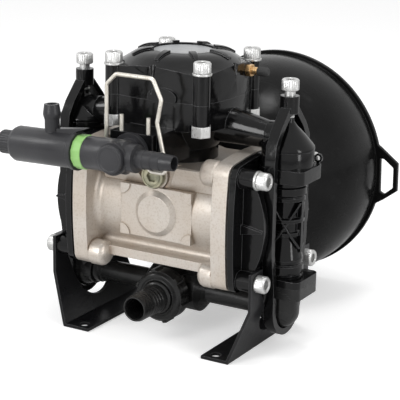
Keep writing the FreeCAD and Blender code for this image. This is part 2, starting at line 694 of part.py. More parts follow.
def right_head():
    """Head plate, D-shaped chamber with its cheeks and fins, four long bosses and the valve tower."""
    start_x = flange_outer_x + diaphragm_thickness
    body = [swollen_plate(flange_half, flange_bulge, lobe_radius, V(start_x, 0, axis_height), ALONG_X,
                          head_flange_x - start_x)]
    block_face = cheek_profile(head_block_x, cheek_half_height)
    block_face.translate(V(0, -cheek_inner_y, 0))
    body.append(block_face.extrude(V(0, 2 * cheek_inner_y, 0)))
    for side in SIDES:
        cheek = cheek_profile(cheek_x, cheek_half_height)
        cheek.translate(V(0, side * cheek_inner_y, 0))
        body.append(cheek.extrude(V(0, side * (cheek_outer_y - cheek_inner_y), 0)))
        fin = prism([V(head_flange_x, 0, axis_height - 4.5), V(cheek_x - 1, 0, axis_height - 0.8),
                     V(cheek_x - 1, 0, axis_height + 0.8), V(head_flange_x, 0, axis_height + 4.5)],
                    V(0, side * 4, 0))
        fin.translate(V(0, side * (cheek_outer_y - 0.5), 0))
        body.append(fin)
    for y, z in bolt_corners(bolt_pitch):
        body.append(rod(boss_radius, V(start_x + 1, y, axis_height + z), V(boss_end_x, y, axis_height + z)))
    body.append(turned(tower_profile(), V(tower_x, 0, 0), ALONG_Z))
    body.append(tower_web())
    body += flange_corners(head_bottom_z, head_bottom_z + 7)
    body += flange_corners(tower_flange_bottom_z + 1.5, head_top_z)
    body.append(flange_eye())
    solid = joined(body)
    chamber = turned([(chamber_rim_radius, start_x - 1), (chamber_rim_radius, start_x + 1),
                      (chamber_floor_radius, chamber_floor_x)], V(0, 0, axis_height), ALONG_X)
    cuts = [chamber,
            rod(tower_bore, V(tower_x, 0, head_bottom_z - 1), V(tower_x, 0, head_top_z + 1)),
            rod(8, V(chamber_floor_x - 2, 0, axis_height), V(tower_x, 0, axis_height))]
    for y, z in bolt_corners(bolt_pitch):
        cuts.append(rod(m10_shank + hole_gap, V(start_x - 1, y, axis_height + z),
                        V(boss_end_x + 1, y, axis_height + z)))
    return solid.cut(Part.makeCompound(cuts))


def valve_seat_height_list():
    """Lower end of each valve seat in a tower: suction below, delivery above."""
    return (suction_seat_z, delivery_seat_z)


def valve_seats():
    """Four seats, one in each end of each tower."""
    seats = []
    for side in SIDES:
        for z in valve_seat_height_list():
            seats.append(tube(tower_bore - running_fit, valve_seat_bore, V(side * tower_x, 0, z),
                              V(side * tower_x, 0, z + valve_seat_height)))
    return Part.makeCompound(seats)


def valve_cage_z(seat_z):
    """Lower face of the cage plate above a seat."""
    return seat_z + valve_seat_height + valve_plate_thickness + valve_lift + 5.0


def valve_cages():
    """Four cages: a perforated plate on a rim that stands on the seat."""
    cages = []
    for side in SIDES:
        for z in valve_seat_height_list():
            centre = V(side * tower_x, 0, 0)
            rim = tube(tower_bore - running_fit, valve_plate_radius + 0.4, centre + V(0, 0, z + valve_seat_height),
                       centre + V(0, 0, valve_cage_z(z)))
            plate = rod(tower_bore - running_fit, centre + V(0, 0, valve_cage_z(z)),
                        centre + V(0, 0, valve_cage_z(z) + valve_cage_height))
            holes = [rod(2.2, V(side * tower_x + 6.2 * math.cos(math.radians(60 * k)),
                                6.2 * math.sin(math.radians(60 * k)), valve_cage_z(z) - 1),
                         V(side * tower_x + 6.2 * math.cos(math.radians(60 * k)),
                           6.2 * math.sin(math.radians(60 * k)), valve_cage_z(z) + valve_cage_height + 1))
                     for k in range(6)]
            cages.append(rim.fuse(plate).cut(Part.makeCompound(holes)))
    return Part.makeCompound(cages)


def valve_plate(side, seat_z):
    """Sealing plate that lifts off its seat."""
    low = seat_z + valve_seat_height
    plate = rod(valve_plate_radius, V(side * tower_x, 0, low), V(side * tower_x, 0, low + valve_plate_thickness))
    return plate.fuse(rod(2.2, V(side * tower_x, 0, low + valve_plate_thickness),
                          V(side * tower_x, 0, low + valve_plate_thickness + 1.5)))


def valve_spring(side, seat_z):
    """Light spring between plate and cage."""
    low = seat_z + valve_seat_height + valve_plate_thickness + spring_wire + 0.05
    high = valve_cage_z(seat_z) - spring_wire - 0.05
    return coil_spring(4.5, spring_wire, V(side * tower_x, 0, low), high - low, 3, ALONG_Z)


# Screws of the heads, feet

def lower_corner(z):
    """True for the two screws of a head that also hold the foot."""
    return z < 0


def head_screws():
    """Eight long screws: the upper ones on washers, the lower ones on the feet."""
    screws = []
    for side in SIDES:
        for y, z in bolt_corners(bolt_pitch):
            seat = boss_end_x + (sheet if lower_corner(z) else washer_thickness)
            screws.append(m10_screw(V(side * seat, y, axis_height + z), V(-side, 0, 0), seat - lobe_end_x - 4))
    return Part.makeCompound(screws)


def washers():
    """Washers of the upper head screws and of the damper screws."""
    rings = []
    for side in SIDES:
        for y, z in bolt_corners(bolt_pitch):
            if not lower_corner(z):
                rings.append(tube(washer_radius, m10_shank + hole_gap, V(side * boss_end_x, y, axis_height + z),
                                  V(side * (boss_end_x + washer_thickness), y, axis_height + z)))
    for x, y in bolt_corners(damper_pitch):
        rings.append(tube(washer_radius, m10_shank + hole_gap, V(x, y, damper_boss_top_z),
                          V(x, y, damper_boss_top_z + washer_thickness)))
    return Part.makeCompound(rings)


def right_foot():
    """Bent sheet: ears behind the lower screws, slanted web with a round cut-out, toe with two holes."""
    top_z = axis_height - bolt_pitch / 2 + 10.5
    outer_x = boss_end_x + sheet
    slope = (outer_x - foot_heel_x) / foot_bend_z
    across = sheet * math.sqrt(1 + slope ** 2)
    inner_heel = foot_heel_x + slope * sheet - across
    profile = [V(boss_end_x, 0, top_z), V(outer_x, 0, top_z), V(outer_x, 0, foot_bend_z), V(foot_heel_x, 0, 0),
               V(foot_toe_x, 0, 0), V(foot_toe_x, 0, sheet), V(inner_heel, 0, sheet),
               V(boss_end_x, 0, foot_bend_z + (across - sheet) / slope)]
    bent = prism(profile, V(0, 2 * foot_half_width, 0))
    bent.translate(V(0, -foot_half_width, 0))
    outline = prism([V(0, -foot_half_width, -1), V(0, -foot_half_width, sheet),
                     V(0, -foot_top_half_width, foot_bend_z), V(0, -foot_top_half_width, top_z + 1),
                     V(0, foot_top_half_width, top_z + 1), V(0, foot_top_half_width, foot_bend_z),
                     V(0, foot_half_width, sheet), V(0, foot_half_width, -1)], V(outer_x + 10, 0, 0))
    solid = bent.common(outline)
    ear_y = bolt_pitch / 2 - 10.5
    shoulder_z = foot_bend_z + 12
    upper = prism([V(foot_toe_x, -ear_y, shoulder_z), V(foot_toe_x, -cutout_radius, foot_bend_z),
                   V(foot_toe_x, cutout_radius, foot_bend_z), V(foot_toe_x, ear_y, shoulder_z),
                   V(foot_toe_x, ear_y, top_z + 1), V(foot_toe_x, -ear_y, top_z + 1)], V(outer_x, 0, 0))
    cuts = [upper, rod(cutout_radius, V(foot_toe_x, 0, cutout_z), V(outer_x + 10, 0, cutout_z))]
    for side in SIDES:
        cuts.append(rod(m10_shank + hole_gap, V(boss_end_x - 1, side * bolt_pitch / 2, axis_height - bolt_pitch / 2),
                        V(outer_x + 1, side * bolt_pitch / 2, axis_height - bolt_pitch / 2)))
        cuts.append(rod(foot_hole_radius, V(foot_hole_x, side * foot_hole_y, -1),
                        V(foot_hole_x, side * foot_hole_y, sheet + 1)))
    return solid.cut(Part.makeCompound(cuts))


# Delivery side

def elbow_dome(extra):
    """Outer body of the delivery elbow, swollen by extra."""
    return turned([(elbow_radius + extra, head_top_z), (elbow_radius + extra, elbow_shoulder_z - 2 + extra),
                   (elbow_radius - 1 + extra, elbow_shoulder_z + extra),
                   (elbow_radius - 8 + extra, elbow_shoulder_z + 8 + extra),
                   (elbow_nose_radius + 3.5 + extra, elbow_nose_z - 7 + extra),
                   (elbow_nose_radius + 0.5 + extra, elbow_nose_z - 3 + extra),
                   (elbow_nose_radius + extra, elbow_nose_z + extra)], V(tower_x, 0, 0), ALONG_Z)


def right_delivery_elbow():
    """Pointed dome that closes the tower and takes the arm of the manifold."""
    dome = elbow_dome(0)
    neck = rod(arm_end_radius + 1, V(arm_end_x, 0, arm_end_z), V(tower_x, 0, arm_end_z))
    inner = turned([(elbow_radius - 5, head_top_z - 1), (elbow_radius - 5, elbow_shoulder_z - 4),
                    (7, elbow_nose_z - 14)], V(tower_x, 0, 0), ALONG_Z)
    passage = rod(arm_end_radius - 3.5, V(arm_end_x - 1, 0, arm_end_z), V(tower_x - 3, 0, arm_end_z))
    flange_top = axis_height + flange_half + flange_bulge + seat_gap
    flat = block(head_flange_x - 10, head_flange_x, -elbow_radius, elbow_radius, head_top_z - 1, flange_top)
    return dome.fuse(neck).cut(inner).cut(passage).cut(flat)


def manifold_arm(root_radius, end_radius):
    """Tapering arm of the delivery manifold, falling to the elbow."""
    start = V(24, 0, arm_root_z)
    end = V(arm_end_x, 0, arm_end_z)
    direction = end - start
    return Part.makeCone(root_radius, end_radius, direction.Length, start, direction)


def damper_bosses(low, high):
    """Screw bosses on the corners of the damper."""
    return [rod(damper_boss_radius, V(x, y, low), V(x, y, high)) for x, y in bolt_corners(damper_pitch)]


def damper_outline(base_z, height):
    """Plan of the damper, without its bosses."""
    return swollen_plate(damper_half, damper_bulge, damper_corner, V(0, 0, base_z), ALONG_Z, height)


def delivery_manifold():
    """Lower half of the damper with both arms and the socket of the relief valve."""
    cup = turned([(damper_foot_radius, seat_height), (damper_foot_radius, seat_height + 12),
                  (damper_foot_radius + 4, seat_height + 17), (damper_half - 1, damper_bowl_z - 2),
                  (damper_half - 1, damper_bowl_z + 5)], ORIGIN, ALONG_Z)
    body = [cup, damper_outline(damper_bowl_z, damper_joint_z - damper_bowl_z)]
    body += damper_bosses(damper_boss_bottom_z, damper_joint_z)
    beyond = block(arm_end_x, arm_end_x + 30, -30, 30, arm_end_z - 40, arm_end_z + 40)
    right_arm = manifold_arm(arm_root_radius, arm_end_radius).cut(elbow_dome(seat_gap)).cut(beyond)
    body += [right_arm, mirrored(right_arm)]
    body.append(block(-coupling_half_width, coupling_half_width, coupling_front_y, -damper_foot_radius + 8,
                      coupling_bottom_z, coupling_top_z))
    solid = joined(body)
    hollow = turned([(damper_foot_radius - damper_wall, seat_height + damper_wall),
                     (damper_foot_radius - damper_wall, seat_height + 14),
                     (damper_half - damper_wall - 3, damper_bowl_z), (damper_half - damper_wall - 3, damper_joint_z + 1)],
                    ORIGIN, ALONG_Z)
    right_passage = manifold_arm(arm_root_radius - 7, arm_end_radius - 3.5)
    ledge = rod(membrane_radius + running_fit, V(0, 0, damper_joint_z - membrane_thickness),
                V(0, 0, damper_joint_z + 1))
    cuts = [hollow, ledge, right_passage, mirrored(right_passage),
            rod(spigot_radius + seat_gap, V(0, coupling_front_y - 1, relief_z), V(0, -60, relief_z)),
            rod(relief_passage, V(0, -61, relief_z), V(0, -25, relief_z))]
    for x, y in bolt_corners(damper_pitch):
        cuts.append(rod(m10_shank + hole_gap, V(x, y, damper_boss_bottom_z - 1), V(x, y, damper_joint_z + 1)))
        cuts.append(rod(m10_nut_width / math.sqrt(3) + 0.8, V(x, y, damper_bowl_z - 20),
                        V(x, y, damper_boss_bottom_z)))
    cuts.append(block(fork_guide_x, coupling_half_width + 1, coupling_front_y - 1, fork_y + wire_radius + 1,
                      coupling_bottom_z - 1, coupling_top_z + 1))
    for side in SIDES:
        cuts.append(rod(wire_radius + seat_gap, V(side * fork_pin_x, fork_y, coupling_bottom_z - 1),
                        V(side * fork_pin_x, fork_y, coupling_top_z + 1)))
    return solid.cut(Part.makeCompound(cuts))


def crown_form(extra):
    """Round body whose top is the crown of the cap: nearly flat inside, falling at the shoulder."""
    top = dome_top_z + extra
    drops = ((0, 0), (30, 1.2), (42, 3.4), (50, 7.6), (57, 12.0), (66, 15.5), (84, 22))
    curve = Part.BSplineCurve()
    curve.interpolate([V(r, 0, top - drop) for r, drop in drops])
    low = V(0, 0, damper_joint_z - 10)
    outer = V(drops[-1][0], 0, damper_joint_z - 10)
    edges = [curve.toShape(), Part.LineSegment(V(drops[-1][0], 0, top - drops[-1][1]), outer).toShape(),
             Part.LineSegment(outer, low).toShape(), Part.LineSegment(low, V(0, 0, top)).toShape()]
    return Part.Face(Part.Wire(edges)).revolve(ORIGIN, ALONG_Z, 360)


def damper_cap():
    """Upper half of the damper: swollen square walls under a ribbed dome."""
    walls = damper_outline(damper_joint_z, dome_top_z + 4 - damper_joint_z)
    crown = walls.common(crown_form(0))
    ribs = []
    for k in range(dome_ribs):
        rib = prism([V(disc_radius, -3.2, damper_joint_z + 10), V(disc_radius + 20, -1.8, damper_joint_z + 10),
                     V(disc_radius + 20, 1.8, damper_joint_z + 10), V(disc_radius, 3.2, damper_joint_z + 10)],
                    V(0, 0, 60))
        rib.rotate(ORIGIN, ALONG_Z, 360 / dome_ribs * k)
        ribs.append(rib)
    raised = Part.makeCompound(ribs).common(crown_form(dome_rib_rise))
    rim = tube(disc_radius + 3, disc_radius - 2, V(0, 0, dome_top_z - 12), V(0, 0, dome_top_z - 1.2))
    valve_boss = rod(7.5, V(damper_half - 5, air_valve_y, air_valve_z), V(air_valve_seat_x, air_valve_y, air_valve_z))
    oval = Part.Ellipse(V(11 + 15, 0, damper_joint_z + 4), V(11, 0, damper_joint_z + 4 + 8.5), V(11, 0, damper_joint_z + 4))
    lug = Part.Face(Part.Wire([oval.toShape()])).extrude(V(0, 12, 0))
    lug.translate(V(0, -damper_half - damper_bulge - 2, 0))
    lug = lug.cut(block(-10, 40, -damper_half - 20, 0, damper_joint_z - 10, damper_joint_z))
    solid = joined([crown, rim, valve_boss, lug] + list(raised.Solids)
                   + damper_bosses(damper_joint_z, damper_boss_top_z))
    recess = rod(disc_radius + seat_gap, V(0, 0, disc_floor_z()), V(0, 0, dome_top_z + 5))
    air_room = turned([(damper_half - damper_wall - 3, damper_joint_z - 1),
                       (damper_half - damper_wall - 3, damper_joint_z + 12), (25, dome_top_z - 10)],
                      ORIGIN, ALONG_Z)
    cuts = [recess, air_room,
            rod(2.0, V(30, air_valve_y, air_valve_z), V(damper_half + 10, air_valve_y, air_valve_z))]
    for k in range(4):
        flute = Part.makeCone(0.4, flute_radius, 33, V(damper_half + damper_bulge + 1.4, 0, damper_joint_z + 5), ALONG_Z)
        flute.rotate(ORIGIN, ALONG_Z, 90 * k)
        cuts.append(flute)
    for x, y in bolt_corners(damper_pitch):
        cuts.append(rod(m10_shank + hole_gap, V(x, y, damper_joint_z - 1), V(x, y, damper_boss_top_z + 10)))
        cuts.append(rod(washer_radius + 1, V(x, y, damper_boss_top_z), V(x, y, damper_boss_top_z + 20)))
    return solid.cut(Part.makeCompound(cuts))


def disc_floor_z():
    """Floor of the round recess in the crown."""
    return dome_top_z - disc_depth


def cap_disc():
    """Plain round disc in the crown."""
    return rod(disc_radius, V(0, 0, disc_floor_z()), V(0, 0, disc_floor_z() + disc_thickness))


def air_valve():
    """Inflation valve: hexagon, stem and its dust cap."""
    hexagon = [V(0, 6 * math.cos(math.radians(60 * k)), 6 * math.sin(math.radians(60 * k))) for k in range(6)]
    nut = prism(hexagon, V(5, 0, 0))
    nut.translate(V(air_valve_seat_x, air_valve_y, air_valve_z))
    stem = rod(1.9, V(damper_half - 6, air_valve_y, air_valve_z), V(air_valve_seat_x + 1, air_valve_y, air_valve_z))
    neck = rod(3.6, V(air_valve_seat_x + 4, air_valve_y, air_valve_z),
               V(air_valve_seat_x + 11, air_valve_y, air_valve_z))
    return joined([nut, stem, neck])


def air_valve_cap():
    """Dust cap on the inflation valve."""
    start = air_valve_seat_x + 11
    return turned([(4.4, start), (4.4, start + 9), (3.2, start + 11)], V(0, air_valve_y, air_valve_z), ALONG_X)


def damper_membrane():
    """Rubber membrane between water and air."""
    return rod(membrane_radius, V(0, 0, damper_joint_z - membrane_thickness), V(0, 0, damper_joint_z))


def damper_screws():
    """Four through screws of the damper."""
    seat = damper_boss_top_z + washer_thickness
    length = seat - damper_boss_bottom_z + m10_nut_height + 1
    return Part.makeCompound([m10_screw(V(x, y, seat), V(0, 0, -1), length)
                              for x, y in bolt_corners(damper_pitch)])


def damper_nuts():
    """Four hexagon nuts under the damper bosses."""
    top = damper_boss_bottom_z
    nuts = []
    for x, y in bolt_corners(damper_pitch):
        reach = m10_nut_width / math.sqrt(3)
        hexagon = [V(x + reach * math.cos(math.radians(60 * k)), y + reach * math.sin(math.radians(60 * k)),
                     top - m10_nut_height) for k in range(6)]
        nuts.append(prism(hexagon, V(0, 0, m10_nut_height)).cut(
            rod(m10_shank + hole_gap, V(x, y, top - m10_nut_height - 1), V(x, y, top + 1))))
    return Part.makeCompound(nuts)


# Yokes

def right_yoke():
    """Stirrup round the tower: threaded boss on top, arms, loop under the suction elbow."""
    def outline(upper, lower, crown_z, crown_y, shoulder_z, bottom_radius, bottom_z):
        centre_z = bottom_z + bottom_radius
        right = [V(0, crown_y, crown_z), V(0, upper - 10, shoulder_z + 12), V(0, upper - 2, shoulder_z),
                 V(0, upper, shoulder_z - 14), V(0, upper, axis_height - 23), V(0, lower, head_bottom_z - 4),
                 V(0, lower, centre_z)]
        left = [V(0, -p.y, p.z) for p in reversed(right)]
        edges = [Part.LineSegment(a, b).toShape() for a, b in zip(right, right[1:])]
        edges.append(Part.Arc(right[-1], V(0, 0, bottom_z), left[0]).toShape())
        edges += [Part.LineSegment(a, b).toShape() for a, b in zip(left, left[1:])]
        edges.append(Part.LineSegment(left[-1], right[0]).toShape())
        return Part.Face(Part.Wire(edges))

    outer = outline(strap_upper_half, strap_lower_half, yoke_boss_bottom_z + 5, yoke_boss_radius, head_top_z + 24,
                    strap_lower_half, strap_bottom_z)
    inner = outline(strap_upper_half - strap_thickness, strap_lower_half - strap_thickness,
                    yoke_boss_bottom_z - 2, yoke_boss_radius - 2, head_top_z + 21.5, strap_lower_half - strap_thickness,
                    strap_bottom_z + strap_thickness)
    band = outer.cut(inner).extrude(V(strap_width, 0, 0))
    band.translate(V(tower_x - strap_width / 2, 0, 0))
    boss = rod(yoke_boss_radius, V(tower_x, 0, yoke_boss_bottom_z), V(tower_x, 0, yoke_boss_top_z))
    hole = rod(m10_shank + hole_gap, V(tower_x, 0, yoke_boss_bottom_z - 5), V(tower_x, 0, yoke_boss_top_z + 1))
    return band.fuse(boss).cut(hole)


def yoke_screws():
    """Pressing screws: their tips stand on the noses of the elbows."""
    right = m10_screw(V(tower_x, 0, yoke_screw_head_z), V(0, 0, -1), yoke_screw_head_z - elbow_nose_z)
    return Part.makeCompound([right, mirrored(right)])


# Suction side

def right_suction_elbow():
    """Plastic elbow under the tower with an oval flange and a socket for the manifold."""
    bottom_centre = V(tower_x, 0, strap_bottom_z + strap_thickness + suction_elbow_radius + seat_gap)
    body = [Part.makeSphere(suction_elbow_radius, bottom_centre),
            rod(suction_elbow_radius, bottom_centre, V(tower_x, 0, suction_flange_top_z))]
    slot = suction_flange_y - suction_flange_x
    body += [rod(suction_flange_x, V(tower_x, s * slot, suction_flange_bottom_z),
                 V(tower_x, s * slot, suction_flange_top_z)) for s in SIDES]
    body.append(block(tower_x - suction_flange_x, tower_x + suction_flange_x, -slot, slot,
                      suction_flange_bottom_z, suction_flange_top_z))
    body += flange_corners(suction_flange_bottom_z, suction_flange_top_z)
    body.append(rod(15, V(socket_end_x, 0, suction_z), V(tower_x, 0, suction_z)))
    solid = joined(body)
    bore = rod(tower_bore, V(tower_x, 0, suction_z), V(tower_x, 0, suction_flange_top_z + 1))
    socket = rod(manifold_arm_radius + seat_gap, V(socket_end_x - 1, 0, suction_z), V(tower_x, 0, suction_z))
    return solid.cut(bore).cut(socket)


def suction_manifold():
    """Tube under the crankcase with collars, a round middle body and the front port."""
    end_x = socket_end_x + 5
    body = [rod(manifold_arm_radius, V(-end_x, 0, suction_z), V(end_x, 0, suction_z)),
            turned([(manifold_arm_radius, -manifold_body_half - 8), (manifold_body_radius, -manifold_body_half),
                    (manifold_body_radius, manifold_body_half), (manifold_arm_radius, manifold_body_half + 8)],
                   V(0, 0, suction_z), ALONG_X),
            rod(port_radius, V(0, port_face_y, suction_z), V(0, 0, suction_z))]
    for side in SIDES:
        body.append(rod(manifold_collar_radius, V(side * (socket_end_x - 1), 0, suction_z),
                        V(side * (socket_end_x - 7), 0, suction_z)))
        body.append(rod(manifold_arm_radius + 1.2, V(side * (socket_end_x - 7), 0, suction_z),
                        V(side * (socket_end_x - 11), 0, suction_z)))
    solid = joined(body)
    cuts = [rod(manifold_arm_radius - manifold_wall, V(-end_x - 1, 0, suction_z), V(end_x + 1, 0, suction_z)),
            rod(port_bore, V(0, port_face_y - 1, suction_z), V(0, 5, suction_z))]
    return solid.cut(Part.makeCompound(cuts))


def union_nut():
    """Ring nut with grip lugs that holds the hose tail on the port."""
    ring = turned([(nut_radius, port_face_y + 3), (nut_radius, nut_front_y + 6), (nut_face_radius, nut_front_y)],
                  V(0, 0, suction_z), ALONG_Y)
    lugs = []
    for k in range(6):
        lug = block(nut_radius - 3, nut_radius + nut_lug, nut_front_y + 3, port_face_y + 3, -2.5, 2.5)
        lug.rotate(ORIGIN, ALONG_Y, 60 * k + 15)
        lug.translate(V(0, 0, suction_z))
        lugs.append(lug)
    ring = ring.multiFuse(lugs)
    bore = rod(port_radius + seat_gap, V(0, port_face_y - 4.5, suction_z), V(0, port_face_y + 4, suction_z))
    mouth = rod(tail_radius + 3.3, V(0, nut_front_y - 1, suction_z), V(0, port_face_y, suction_z))
    return ring.cut(bore).cut(mouth)


def hose_tail():
    """Stepped hose tail with its collar inside the nut."""
    collar = port_face_y
    tail = turned([(port_radius - 0.4, collar), (port_radius - 0.4, collar - 4), (tail_radius + 2.8, collar - 4),
                   (tail_radius + 2.8, nut_front_y - 2), (tail_radius + 0.8, nut_front_y - 3),
                   (tail_radius + 0.8, nut_front_y - 10), (tail_radius + 0.2, nut_front_y - 11),
                   (tail_radius + 0.2, nut_front_y - 24), (tail_radius - 0.5, nut_front_y - 25),
                   (tail_radius, nut_front_y - 26), (tail_radius, tail_end_y + 2), (tail_radius - 0.8, tail_end_y)],
                  V(0, 0, suction_z), ALONG_Y)
    return tail.cut(rod(tail_bore, V(0, tail_end_y - 1, suction_z), V(0, collar + 1, suction_z)))


# Relief valve, built level and then turned a little in its socket

def swivelled(shape):
    """A piece of the relief valve in its place."""
    return shape.rotate(V(0, 0, relief_z), ALONG_Y, -relief_tilt)


def relief_body():
    """Regulating body of the relief valve with its return barb and fin."""
    shell = turned([(relief_radius - 1.5, relief_left_x), (relief_radius, relief_left_x + 3),
                    (relief_radius, relief_right_x - 5), (relief_radius + 1.3, relief_right_x - 4),
                    (relief_radius + 1.3, relief_right_x)], V(0, relief_y, relief_z), ALONG_X)
    barb = turned([(return_radius, relief_z), (return_radius, return_top_z - 14),
                   (return_radius + 1.2, return_top_z - 10), (return_radius + 1.2, return_top_z - 8),
                   (return_radius, return_top_z)], V(return_x, relief_y, 0), ALONG_Z)
    fin_low, fin_high = relief_z + relief_radius - 2, relief_z + relief_radius + 2.5
    fin = prism([V(return_x + 7, relief_y - 4, fin_low), V(return_x + 7, relief_y - 4, fin_high),
                 V(relief_right_x + 5, relief_y - 4, fin_high + 2.5), V(relief_right_x + 9, relief_y - 4, fin_high + 2.5),
                 V(relief_right_x + 1, relief_y - 4, fin_high - 0.2), V(relief_right_x - 1, relief_y - 4, fin_high - 0.7),
                 V(relief_right_x - 1, relief_y - 4, fin_low)], V(0, 8, 0))
    solid = joined([shell, barb, fin])
    room = rod(relief_bore + 4, V(relief_left_x + 6, relief_y, relief_z), V(relief_right_x - 6, relief_y, relief_z))
    seat = rod(relief_bore - 2.5, V(relief_right_x - 7, relief_y, relief_z), V(relief_right_x + 1, relief_y, relief_z))
    passage = rod(return_bore, V(return_x, relief_y, relief_z), V(return_x, relief_y, return_top_z + 1))
    spindle = rod(4 + running_fit, V(relief_left_x - 1, relief_y, relief_z), V(relief_left_x + 7, relief_y, relief_z))
    return swivelled(solid.cut(room).cut(seat).cut(passage).cut(spindle))


def pressure_knob():
    """Adjusting knob with its spindle."""
    cap = turned([(knob_radius - 2.5, knob_end_x), (knob_radius, knob_end_x + 4),
                  (knob_radius, relief_left_x - 0.3)], V(0, relief_y, relief_z), ALONG_X)
    spindle = rod(4, V(relief_left_x - 2, relief_y, relief_z), V(relief_left_x + 9, relief_y, relief_z))
    return swivelled(cap.fuse(spindle))


def relief_poppet():
    """Conical poppet that closes the relief seat."""
    seat_x = relief_right_x - 6
    return swivelled(turned([(relief_bore + 1, seat_x - 8), (relief_bore + 1, seat_x - 4),
                             (relief_bore - 2, seat_x - 0.1)], V(0, relief_y, relief_z), ALONG_X))


def relief_spring():
    """Spring between poppet and spindle."""
    wire = 1.0
    start = relief_left_x + 9 + wire + 0.1
    end = relief_right_x - 14 - wire - 0.1
    return swivelled(coil_spring(6, wire, V(start, relief_y, relief_z), end - start, 4, ALONG_X))


def green_ring():
    """Coloured ring between the regulating body and the tee."""
    facets = 12
    outline = [V(0, relief_y + band_radius * math.cos(math.radians(360 / facets * (k + 0.5))),
                 relief_z + band_radius * math.sin(math.radians(360 / facets * (k + 0.5)))) for k in range(facets)]
    ring = prism(outline, V(band_right_x - band_left_x, 0, 0))
    ring.translate(V(band_left_x, 0, 0))
    return swivelled(ring.cut(rod(relief_bore + 5.5 + seat_gap, V(band_left_x - 1, relief_y, relief_z),
                                  V(band_right_x + 1, relief_y, relief_z))))


def relief_tee():
    """Tee with the spigot to the manifold, the front boss and the outlet barb."""
    barb_x = outlet_end_x - tee_flange_x
    barb = [(outlet_radius, tee_flange_x + 1)]
    for share, radius in ((0.22, 0.4), (0.44, 0.2), (0.66, -0.1)):
        step = tee_flange_x + barb_x * share
        barb += [(outlet_radius + radius, step), (outlet_radius + radius - 0.6, step + 0.6)]
    run = turned([(relief_bore + 5.5, relief_right_x), (relief_bore + 5.5, band_right_x),
                  (tee_radius - 0.4, band_right_x), (tee_radius - 0.4, -17), (tee_radius, -16),
                  (tee_radius, tee_shoulder_x - 0.5), (tee_flange_radius, tee_shoulder_x + 1),
                  (tee_flange_radius, tee_flange_x)] + barb + [(outlet_radius - 1.6, outlet_end_x)],
                 V(0, relief_y, relief_z), ALONG_X)
    front = rod(plug_radius + plug_rim, V(0, plug_front_y + 5, relief_z), V(0, relief_y, relief_z))
    collar = rod(collar_radius, V(0, coupling_front_y - 5, relief_z), V(0, coupling_front_y - seat_gap, relief_z))
    spigot = turned([(tee_radius - 2, relief_y), (tee_radius - 2, coupling_front_y - 4),
                     (spigot_radius, coupling_front_y - 4),
                     (spigot_radius, fork_y - wire_radius - 0.8), (groove_radius, fork_y - wire_radius - 0.8),
                     (groove_radius, fork_y + wire_radius + 0.8), (spigot_radius, fork_y + wire_radius + 0.8),
                     (spigot_radius, -62)], V(0, 0, relief_z), ALONG_Y)
    solid = joined([run, front, collar, spigot])
    cuts = [rod(outlet_bore, V(relief_right_x - 1, relief_y, relief_z), V(outlet_end_x + 1, relief_y, relief_z)),
            rod(5, V(0, relief_y, relief_z), V(0, -60, relief_z)),
            rod(plug_radius + seat_gap, V(0, plug_front_y - 1, relief_z), V(0, plug_front_y + 5, relief_z)),
            rod(plug_radius - 2.5, V(0, plug_front_y, relief_z), V(0, relief_y - 4, relief_z))]
    return swivelled(solid.cut(Part.makeCompound(cuts)))


def tee_plug():
    """Round plug in the front of the tee."""
    return turned([(plug_radius - 1, plug_front_y), (plug_radius, plug_front_y + 1.5), (plug_radius, plug_front_y + 5),
                   (plug_radius - 2.55, plug_front_y + 5), (plug_radius - 2.55, relief_y - 5)],
                  V(0, 0, relief_z), ALONG_Y)


def retaining_fork():
    """One bent wire: two pins up through the socket, outer legs and a loop over them."""
    foot_z = coupling_bottom_z - wire_radius - 0.4
    points = [V(-fork_pin_x, fork_y, fork_tip_z), V(-fork_pin_x, fork_y, foot_z), V(-fork_leg_x, fork_y, foot_z),
              V(-fork_leg_x, fork_y, fork_top_z - 10), V(-fork_leg_x + 10, fork_y, fork_top_z),
              V(fork_leg_x - 12, fork_y, fork_top_z), V(fork_leg_x - 3, fork_y, fork_top_z - 18),
              V(fork_leg_x - 7, fork_y, fork_tip_z - 1), V(fork_leg_x + 4, fork_y, foot_z),
              V(fork_pin_x, fork_y, foot_z), V(fork_pin_x, fork_y, fork_tip_z)]
    spans = [rod(wire_radius, a, b) for a, b in zip(points, points[1:])]
    knuckles = [Part.makeSphere(wire_radius, p) for p in points[1:-1]]
    tips = [turned([(wire_radius, 0), (wire_radius * 0.5, 2.5)], points[k], ALONG_Z) for k in (0, -1)]
    return joined(spans + knuckles + tips)


# Oil plug, guard

def oil_plug():
    """Filler plug with a socket in its head."""
    seat = V(plug_x, plug_boss_face_y, plug_height)
    return socket_screw(seat, ALONG_Y, 10, plug_shank, plug_head_radius, 5.5, 10.0)


def guard_profile_arc(radius_offset, start_radius, start_y, end_y):
    """Points of the bowl wall between floor and rim."""
    middle = V(guard_rim_radius - 19.5 - radius_offset, 0, rear_face_y + cover_thickness + 45 + radius_offset * 0.6)
    return V(start_radius, 0, start_y), middle, V(guard_rim_radius - radius_offset, 0, end_y)


